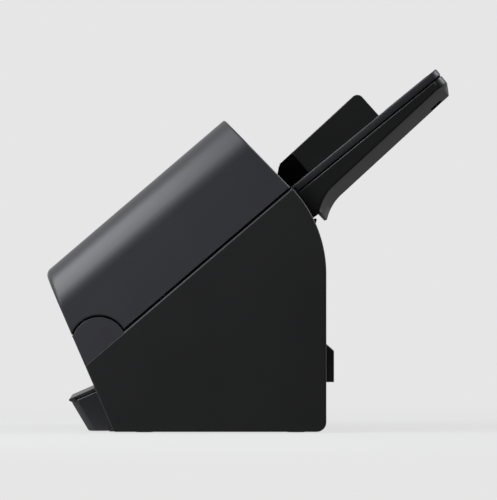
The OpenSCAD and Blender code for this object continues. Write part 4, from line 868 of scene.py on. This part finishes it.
heels = [oblong((-2.2, 1.6), span(way, TRAY_HALF - 8, TRAY_HALF - 1.5)) for _, way in SIDES]
piece("tray_spacers", [plate([seat], HOUSING_TOP - 0.2, -5.6, 0.2, on_tray) for seat in seats]
      + [plate([heel], HOUSING_TOP - 3.5, -5.4, 0.2, on_tray) for heel in heels],
      "base", deep_black)

# Input tray plate. A thick charcoal slab that carries the paper, with two slots for
# the side guides and a tongue under the cover; it hangs on a pin in each side frame.
PLATE_T = 5.6
SLOT_HALF_T, SLOT_Y = 2.9, (18.0, 111.1)
GEAR_R, GEAR_T, GEAR_M = 9.0, 44.5, (-10.6, -6.4)  # the pinion's pitch radius, place and heights
PIN_T, PIN_R = -12.0, 2.0
PIN_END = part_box("tray_plate")[1].y / MM
SKID_T, SKID_YS, SKID_HALF = (GEAR_T + 45, TRAY_LEN - 7), (-75, -45, -15, 15, 45, 75), 1.2


def standing(place, along, across):
    """Places round an axis that stands up from a point along and across."""
    return lambda up, u, v: place(along + u, across + v, up)


def rounded(a, b, radius):
    """A rectangle whose corners are rounded to a radius."""
    return filleted(oblong(a, b), [radius] * 4, [4] * 4)


def ring_line(a, b, radius, steps=48):
    """A circle of equally spaced points."""
    return arc((a, b), radius, 0, 360, steps)[:-1]


slab_corners = [(0, TRAY_HALF), (0, -TRAY_HALF), (TRAY_LEN, -TRAY_HALF), (TRAY_LEN, TRAY_HALF)]
slab_line = filleted(slab_corners, (0, 0, TRAY_R, TRAY_R), (0, 0, 8, 8))
guide_slots = [rounded(either_side(GEAR_T, SLOT_HALF_T), span(way, *SLOT_Y), 1.5) for _, way in SIDES]
tongue_line = oblong((-16, 1), (-TRAY_HALF, TRAY_HALF))
skids = [plate([rounded(SKID_T, either_side(y, SKID_HALF), 1.1)], -0.4, 0.3, 0.25, on_tray) for y in SKID_YS]
pins = [turned([(way * (TRAY_HALF - 1), PIN_R), (way * (PIN_END - 0.3), PIN_R), (way * PIN_END, PIN_R - 0.3)],
               crosswise(on_tray, PIN_T, -PLATE_T / 2), 24) for _, way in SIDES]
post = turned([(GEAR_M[0] + 0.3, 2.6), (GEAR_M[0] + 0.7, 3.0), (-PLATE_T / 2, 3.0)],
              standing(on_tray, GEAR_T, 0), 32)
piece("tray_slab", [plate([slab_line] + guide_slots, -PLATE_T, 0, 0.9, on_tray),
                    plate([tongue_line], -PLATE_T, -1.2, 0.4, on_tray), post] + skids + pins,
      "base", tray_grey, ("tray_plate",))

# Side guides. Each is a tall black fin on a flat foot that slides on the tray. The
# front of the fin, under the cover's end, is set back a little and painted near-black
# as painted shade, where the cover's shadow falls.
FIN_IN, FIN_T, FIN_SET, FIN_STEP_T = 108.5, 2.6, 0.7, 15.2
FIN_TIP, FIN_NEAR, FIN_LOW, FIN_FOOT_T = (81.0, 23.2), (3.1, 18.56), 0.06, 82.0
SHOE_T, SHOE_Y = (12, 80), (FIN_IN - 9, FIN_IN + 1)
STEM_HALF, STEM_W, NECK_OUT = 2.5, 6.0, 5.25
RACK_END, RACK_W, TOOTH_HALF = 14.0, 4.0, 0.73


def rack_line(first, last):
    """The right-hand rack from above: a bar whose straight-sided teeth, pi millimetres apart, reach
    from 1.25 outside the pinion's pitch circle to 1 inside it."""
    face, tip = GEAR_T + GEAR_R + 1.25, GEAR_T + GEAR_R - 1
    count = math.floor((last - first) / math.pi) - 1
    places = (np.arange(count) + math.ceil(first / math.pi + 0.5) + 0.5) * math.pi
    flank = math.tan(math.radians(20))
    wide, narrow = TOOTH_HALF + 1.25 * flank, TOOTH_HALF - flank
    teeth = np.stack([np.stack([np.full_like(places, t), places + k], -1)
                      for t, k in ((face, -wide), (tip, -narrow), (tip, narrow), (face, wide))], 1)
    return np.concatenate([[(face + RACK_W, first), (face, first)], teeth.reshape(-1, 2),
                           [(face, last), (face + RACK_W, last)]])


guide_black = moulded("guide_black", "matt_black", tint(15), 0.40)
# shadow_black is painted shade: near-black and almost without gloss, for the fin's front under the cover.
shadow_black = moulded("shadow_black", "matt_black", tint(2), 0.85, shine=0.03)
slope = (FIN_TIP[1] - FIN_NEAR[1]) / (FIN_TIP[0] - FIN_NEAR[0])
step_top = FIN_NEAR[1] + slope * (FIN_STEP_T - FIN_NEAR[0])
fin_foot = (FIN_FOOT_T, FIN_LOW)
fin_rear = np.concatenate([[(FIN_STEP_T, FIN_LOW), (FIN_STEP_T, step_top)],
                           fillet(FIN_NEAR, FIN_TIP, fin_foot, 5.0, 8), [fin_foot]])
fin_front = [(-6.0, FIN_LOW), (-2.8, 13.456), FIN_NEAR, (FIN_STEP_T + 1, step_top + slope),
             (FIN_STEP_T + 1, FIN_LOW)]
for side, way in SIDES:
    shoe = oblong(SHOE_T, span(way, *SHOE_Y))
    stem = oblong(either_side(GEAR_T, STEM_HALF), span(way, FIN_IN - STEM_W, FIN_IN))
    neck = oblong((GEAR_T, GEAR_T - way * (GEAR_R + NECK_OUT)), (way * FIN_IN, way * (FIN_IN - STEM_W)))
    rack = rack_line(-FIN_IN, RACK_END)
    if way == 1:
        rack = np.array([2 * GEAR_T, 0]) - rack
    piece(f"{side}_fin", [plate([fin_rear], *span(way, FIN_IN, FIN_IN + FIN_T), 0.5, sideways(on_tray)),
                          plate([shoe], 0.08, 1.5, 0.3, on_tray), plate([stem], GEAR_M[0], 0.9, 0, on_tray),
                          plate([neck], *GEAR_M, 0, on_tray), plate([rack], *GEAR_M, 0, on_tray)],
          f"{side}_paper_guide", guide_black, (f"{side}_guide",))
    # The fin's front takes shadow_black, painted shade for the cover's shadow.
    piece(f"{side}_fin_front",
          [plate([fin_front], *span(way, FIN_IN, FIN_IN + FIN_T - FIN_SET), 0.35, sideways(on_tray))],
          f"{side}_paper_guide", shadow_black)

# Control panel. A gloss black bezel with a dark display window and four keys, set
# flush in the cover's top; the keys are dished and carry plain printed signs.
BEZEL_T, BEZEL_GAP, WINDOW_T = 2.0, 0.4, 1.2
DISPLAY_S, DISPLAY_Y = (23.0, 49.0), (-53.0, -5.0)
KEYS = {"start": (36.0, 14.0, 7.0), "stop": (36.0, 46.0, 5.0),
        "up": (45.0, 31.0, 4.0), "down": (27.0, 31.0, 4.0)}  # places along and across, and radius
SIGNS = {"start": [(1, -1), (-1, -1), (0, 1.1)], "stop": [(-1, -1), (1, -1), (1, 1), (-1, 1)],
         "up": [(-1, -1), (1.1, 0), (-1, 1), (-0.3, 0)], "down": [(1, -1), (-1.1, 0), (1, 1), (0.3, 0)]}
KEY_CLEAR, KEY_PROUD, KEY_RIM, KEY_DISH, SIGN_SHARE = 0.25, 0.4, 1.0, 0.35, 0.34
BOARD_N, POST_R, POST_SS, POST_YS = COVER_H - 8.0, 2.5, (22, 50), (-52, 52)


def glossy(name, slot, colour, roughness, coat=0.3):
    """Polished plastic or lacquer. Faint swirls in its sheen are what wiping leaves."""
    made = patterned(name, slot, 60, 3, shaded(colour, 0.93), colour, roughness, 0.08)
    made.put("Coat Weight", coat)
    return made


key_green = glossy("key_green", "green_key", (0.02, 0.17, 0.07, 1), 0.22)
sign_white = glossy("sign_white", "white_acetal", tint(205), 0.35, 0.0)
bezel = rounded((PANEL_S[0] + BEZEL_GAP, PANEL_S[1] - BEZEL_GAP), either_side(0, PANEL_Y - BEZEL_GAP), 1.0)
key_holes = [ring_line(s, y, r + KEY_CLEAR) for s, y, r in KEYS.values()]
window = rounded(DISPLAY_S, DISPLAY_Y, 0.8)
posts = [turned([(BOARD_N, POST_R), (COVER_H - BEZEL_T + 0.3, POST_R)], standing(on_path, s, y), 24)
         for s in POST_SS for y in POST_YS]
piece("panel_face", [plate([bezel] + key_holes, COVER_H - BEZEL_T, COVER_H - WINDOW_T, 0, on_path),
                     plate([bezel, window] + key_holes, COVER_H - WINDOW_T, COVER_H, 0.22, on_path)] + posts,
      "cover", glossy("gloss_black", "panel_gloss", tint(14), 0.14), ("panel_bezel",))
pane = Finish("display_glass", "clear_glass")
cell = pane.node("ShaderNodeTexChecker", {}, {"Vector": pane.place, "Scale": 2600.0}, "Fac")
pane.put("Base Color", pane.blend(cell, (0.010, 0.014, 0.013, 1), (0.013, 0.018, 0.017, 1)))
pane.put("Roughness", 0.06 + pane.noise(80, 2) * 0.05)
pane.put("Coat Weight", 0.5)
pane_line = inset(wound(window), 0.05)
piece("display_pane", [plate([pane_line], COVER_H - WINDOW_T + 0.02, COVER_H - 0.3, 0.15, on_path)],
      "cover", pane, ("display_window",))
for key, (s, y, r) in KEYS.items():
    finish = key_green if key == "start" else tray_grey
    under, top = COVER_H - BEZEL_T - 0.3, COVER_H + KEY_PROUD
    outline = [(BOARD_N + 1.1, 2.3), (BOARD_N + 1.3, 2.5), (under - 1.2, 2.5), (under - 1.2, r + KEY_RIM),
               (under, r + KEY_RIM), (under, r), (top - 0.5, r), (top - 0.15, r - 0.15), (top, r - 0.5)]
    outline += [(top - KEY_DISH * (1 - k * k), (r - 0.8) * k) for k in np.linspace(1, 0.06, 7)]
    piece(f"{key}_cap", [turned(outline, standing(on_path, s, y))], f"{key}_key", finish, (f"{key}_button",))
    sign_line, dish_n = np.array(SIGNS[key]) * SIGN_SHARE * r + (s, y), top - KEY_DISH
    sign = plate([sign_line], dish_n - 0.1, dish_n + 0.06, 0.02, on_path)
    piece(f"{key}_sign", [sign], f"{key}_key", sign_white)

# Rubber feet. Four turned discs of black rubber, pressed into recesses of the base
# pan; the ring under each one is what stands on the desk.
FOOT_IN = 22.0
foot_line = [(0.5, 0.9), (0, 1.3), (0, 2.5), (0.5, 2.9), (0.5, 3.5), (0, 3.9), (0, 6.3), (0.25, 6.8),
             (0.8, 7.0), (2.0, 7.0)]
rubber = patterned("foot_rubber", "black_rubber", 180, 4, tint(20), tint(34), 0.7, 0.2, (0.4, 0.1))
piece("desk_feet", [turned(foot_line, standing(upright, x, y))
                    for x in (front_x(GROUND) + FOOT_IN, REAR_X - FOOT_IN)
                    for y in (FOOT_IN - SIDE_IN, SIDE_IN - FOOT_IN)],
      "base", rubber, ("rubber_feet",))

# Rollers. Grey rubber tyres, ground and grooved to grip the paper, are pushed on
# steel shafts; white wheels press the sheet on them from inside the cover.
DRIVE_S, FEED_S = {"front": 39.937, "rear": 104.019}, 137.966
DRIVE_R, FEED_R, SEPARATION_R, IDLER_R = 8.0, 12.0, 11.0, 6.0
DRIVE_YS, FEED_YS = (-79.92, -30.24, 30.24, 79.92), (-16.0, 16.0)
DRIVE_W, FEED_W, TYRE_BORE, NIP = 14.0, 20.0, 3.0, 0.2


def tyre_line(y, width, radius, groove, pitch):
    """A tyre's section: its bore, chamfered sides, and a tread with a square groove at every pitch."""
    count = int((width - 2) // pitch)
    mid = (np.arange(count) - (count - 1) / 2) * pitch
    steps = np.array([(-0.35, 0), (-0.3, -groove), (0.3, -groove), (0.35, 0)])
    tread = (mid[:, None, None] * (1, 0) + steps).reshape(-1, 2) + (0, radius)
    half = width / 2
    return np.concatenate([[(-half, TYRE_BORE), (-half, radius - 0.5), (-half + 0.5, radius)], tread,
                           [(half - 0.5, radius), (half, radius - 0.5), (half, TYRE_BORE)]]) + (y, 0)


tyre_rubber = Finish("tyre_rubber", "roller_rubber")
grind, worn = tyre_rubber.noise(420, 3), tyre_rubber.noise(30, 2)
tyre_rubber.put("Base Color", tyre_rubber.blend(worn * 0.6 + grind * 0.4, (0.055, 0.060, 0.070, 1),
                                                (0.095, 0.10, 0.11, 1)))
tyre_rubber.put("Roughness", 0.62 + grind * 0.2)
tyre_rubber.bump(grind, 0.5, 0.06)
acetal = patterned("white_acetal", "white_acetal", 45, 3, (0.70, 0.70, 0.66, 1), (0.78, 0.78, 0.75, 1),
                   0.28, 0.12)
idler_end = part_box("rear_idlers")[1].y / MM
wheel = [(-7, 2.0), (-7, 5.2), (-6.2, 6.0), (-0.5, 6.0), (-0.3, 5.6), (0.3, 5.6), (0.5, 6.0), (6.2, 6.0),
         (7, 5.2), (7, 2.0)]
idler_line = [(-idler_end, 1.7), (-idler_end + 0.3, 2.0),
              *((y + along, r) for y in DRIVE_YS for along, r in wheel),
              (idler_end - 0.3, 2.0), (idler_end, 1.7)]
for name, ys, width, radius, s, n, groove, pitch, steps in (
        ("front_drive", DRIVE_YS, DRIVE_W, DRIVE_R, DRIVE_S["front"], -DRIVE_R, 0.3, 2.0, 48),
        ("rear_drive", DRIVE_YS, DRIVE_W, DRIVE_R, DRIVE_S["rear"], -DRIVE_R, 0.3, 2.0, 48),
        ("feed", FEED_YS, FEED_W, FEED_R, FEED_S, -FEED_R, 0.5, 2.0, 72),
        ("separation", FEED_YS, FEED_W, SEPARATION_R, FEED_S, NIP + SEPARATION_R, 0.4, 3.0, 72)):
    tyres = [turned(tyre_line(y, width, radius, groove, pitch), crosswise(on_path, s, n), steps, True)
             for y in ys]
    piece(f"{name}_treads", tyres, f"{name}_roller", tyre_rubber, (f"{name}_tyres",))
for end, s in DRIVE_S.items():
    piece(f"{end}_pressure_wheels", [turned(idler_line, crosswise(on_path, s, NIP + IDLER_R), 40)],
          f"{end}_idler_roller", acetal, (f"{end}_idlers",))

# Drive train. A stepper motor on the left side frame turns three shafts through
# toothed belts of black rubber, one behind another outside the frame.
BELT_Y, BELT_W, BELT_STEP = PIN_END + 0.8, 3.0, 3.35
PULLEY_R, MOTOR_PULLEY_R = 6.6, 4.7
BELT_IN, TOOTH, BELT_OUT = 0.1, 0.5, 1.3
motor_at = np.array([REAR_X - 50, 55.0])


def belt_line(a, ra, b, rb, steps):
    """The loop of a belt round two wheels, by equal steps, with its outward normals. Both straight runs
    leave the wheels where the normal makes an angle with the line of centres whose cosine is the
    difference of the radii over the distance."""
    gap = b - a
    length = np.linalg.norm(gap)
    lean = math.acos((ra - rb) / length)
    line = math.atan2(gap[1], gap[0])
    run = math.sqrt(length ** 2 - (ra - rb) ** 2)
    ends = np.cumsum([0, run, 2 * lean * rb, run, 2 * (math.pi - lean) * ra])
    s = np.arange(steps) * ends[-1] / steps
    low, high = line - lean, line + lean
    turn = np.select([s < ends[1], s < ends[2], s < ends[3]],
                     [np.full(steps, low), low + (s - ends[1]) / rb, np.full(steps, high)],
                     high + (s - ends[3]) / ra)
    normal = np.stack([np.cos(turn), np.sin(turn)], -1)
    start_low = a + ra * np.array([math.cos(low), math.sin(low)])
    start_high = b + rb * np.array([math.cos(high), math.sin(high)])
    ahead = np.array([-math.sin(low), math.cos(low)])
    back = np.array([-math.sin(high), math.cos(high)])
    on_a, on_b = (s >= ends[3])[:, None], ((s >= ends[1]) & (s < ends[2]))[:, None]
    straight = np.where((s < ends[1])[:, None], start_low + s[:, None] * ahead,
                        start_high + (s - ends[2])[:, None] * back)
    return np.where(on_a, a + ra * normal, np.where(on_b, b + rb * normal, straight)), normal


def wheel_at(s, radius):
    """The centre, in x and z, of a roller whose top touches the path at a distance along it."""
    centre = on_path(s, 0, -radius)
    return np.array([centre[0], centre[2]])


def belt(a, ra, b, rb, layer):
    """A toothed belt: its inner skin steps in and out every millimetre, its outer skin is smooth."""
    steps = int(round((2 * np.linalg.norm(b - a) + math.pi * (ra + rb)) / 4.0)) * 8
    loop, normal = belt_line(a, ra, b, rb, steps)
    inner = loop + normal * np.where(np.arange(steps) % 4 < 2, BELT_IN, BELT_IN + TOOTH)[:, None]
    outer = loop + normal * BELT_OUT
    near, far = BELT_Y + layer * BELT_STEP, BELT_Y + layer * BELT_STEP + BELT_W
    return lofted([section(upright, line, y)
                   for line, y in ((inner, near), (outer, near), (outer, far), (inner, far))], True)


belt_rubber = patterned("belt_rubber", "deep_black", 700, 2, tint(14), tint(30), 0.6, 0.25, (0.5, 0.08))
front_wheel, rear_wheel = wheel_at(DRIVE_S["front"], DRIVE_R), wheel_at(DRIVE_S["rear"], DRIVE_R)
piece("toothed_belts", [belt(motor_at, MOTOR_PULLEY_R, rear_wheel, PULLEY_R, 0),
                        belt(front_wheel, PULLEY_R, rear_wheel, PULLEY_R, 1),
                        belt(rear_wheel, PULLEY_R, wheel_at(FEED_S, FEED_R), PULLEY_R, 2)],
      "base", belt_rubber, ("drive_belts",))

# Steel parts. The side frames, shafts, pins, arms and screws are zinc plated, so
# their sheen drifts with the plating and shows fine lines from the rolling.
steel = Finish("plated_steel", "plated_steel")
crystal = steel.node("ShaderNodeTexVoronoi", {}, {"Vector": steel.place, "Scale": 260.0}, "Distance")
stretched = steel.node("ShaderNodeMapping", {}, {"Vector": steel.place, "Scale": (40, 900, 40)}, "Vector")
drawn = steel.node("ShaderNodeTexNoise", {}, {"Vector": stretched, "Scale": 1.0}, "Fac")
steel.put("Metallic", 1.0)
steel.put("Base Color", steel.blend(crystal, (0.50, 0.51, 0.53, 1), (0.60, 0.61, 0.62, 1)))
steel.put("Roughness", 0.28 + drawn * 0.16 + crystal * 0.06)
steel.bump(drawn, 0.2, 0.03)


def dressed(finish, *names):
    """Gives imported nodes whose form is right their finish."""
    for name in names:
        for place in nodes[name].material_slots:
            place.material = finish.material


dressed(steel, "right_side_frame", "left_side_frame", "hinge_pins", "tie_bars", "side_cover_screws",
        "latch_keepers", "hinge_arms", "latch_shaft", "separation_shaft", "feed_shaft", "rear_drive_shaft",
        "front_drive_shaft", "motor_body", "motor_pulley", "usb_port")
dressed(acetal, "roller_bushes", "guide_pinion")

# Paper guides. Two satin black mouldings face each other across the paper's path;
# the lower one has low ribs that keep the sheet from sticking to it.
GUIDE_RIB_S, GUIDE_RIB_YS = ((8, 27), (50, 66), (92, 94.5), (113.5, 157)), (-103, -55, 55, 103)
guide_satin = moulded("guide_satin", "matt_black", tint(24), 0.46, 0.03, shine=0.3)
dressed(guide_satin, "upper_paper_guide", "lower_paper_guide")
piece("guide_ribs", [plate([rounded(s, either_side(y, 0.7), 0.6)], -SEAM - 0.3, -SEAM + 0.25, 0.15, on_path)
                     for s in GUIDE_RIB_S for y in GUIDE_RIB_YS],
      "base", guide_satin)

# Cameras. Two black moulded bars, one in the base and one in the cover, each read a
# face of the sheet through a glass. The latch's hooks are moulded in the same black.
bar_black = moulded("bar_black", "matt_black", tint(18), 0.6, 0.06)
dressed(bar_black, "upper_camera", "lower_camera", "latch_hooks")
glass = patterned("clear_glass", "clear_glass", 35, 3, (0.55, 0.62, 0.62, 1), (0.60, 0.66, 0.65, 1),
                  0.01, 0.05)
glass.put("IOR", 1.5)
glass.put("Transmission Weight", 0.85)
dressed(glass, "upper_glass", "lower_glass")

# Circuit boards. Green solder resist over copper tracks, which show through it as
# slightly lighter lines with tinned pads between them.
board = Finish("circuit_board")
board_face = board.node("ShaderNodeMapping", {"vector_type": "POINT"}, {
    "Vector": board.place, "Rotation": (math.radians(90), 0, math.radians(90))}, "Vector")
tracks = board.node("ShaderNodeTexBrick", {"offset": 0.35}, {
    "Vector": board_face, "Color1": (0.012, 0.085, 0.032, 1), "Color2": (0.018, 0.11, 0.045, 1),
    "Mortar": (0.035, 0.18, 0.08, 1), "Scale": 60.0, "Mortar Size": 0.03}, "Color")
board.put("Base Color", tracks)
board.put("Roughness", 0.30 + board.noise(200, 2) * 0.15)
dressed(board, "main_board", "panel_board")

# Sockets. The data socket's steel shell holds a white tongue; the power inlet is a
# black block with a round hole and a plated pin in its middle.
PORT_Z, DATA_Y, POWER_Y = 50.0, -16.0, 16.0
PORT_FACE, INLET_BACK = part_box("usb_port")[1].x / MM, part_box("dc_jack")[0].x / MM
DATA_HALF, INLET_HALF, INLET_HOLE_R, INLET_DEPTH = (2.9, 1.6), 7.1, 3.0, 9.0


def facing_back(y, z, x):
    """World places of points given across, up and towards the rear."""
    return upright(x, y, z)


data_line = rounded(either_side(DATA_Y, DATA_HALF[0]), either_side(PORT_Z, DATA_HALF[1]), 0.3)
tongue = plate([data_line], PORT_FACE - 11.4, PORT_FACE - 1.8, 0.3, facing_back)
piece("data_tongue", [tongue], "base", acetal)
inlet_line = rounded(either_side(POWER_Y, INLET_HALF), either_side(PORT_Z, INLET_HALF), 0.6)
inlet_hole = ring_line(POWER_Y, PORT_Z, INLET_HOLE_R, 40)
piece("power_socket", [plate([inlet_line, inlet_hole], PORT_FACE - INLET_DEPTH, PORT_FACE, 0.3, facing_back),
                       plate([inlet_line], INLET_BACK, PORT_FACE - INLET_DEPTH, 0, facing_back)],
      "base", deep_black, ("dc_jack",))
inlet_pin = [(PORT_FACE - 10, 1.0), (PORT_FACE - 2.2, 1.0), (PORT_FACE - 1.7, 0.8), (PORT_FACE - 1.5, 0.4)]
power_pin = turned(inlet_pin, lambda x, u, v: upright(x, POWER_Y + u, PORT_Z + v), 24)
piece("power_pin", [power_pin], "base", steel)
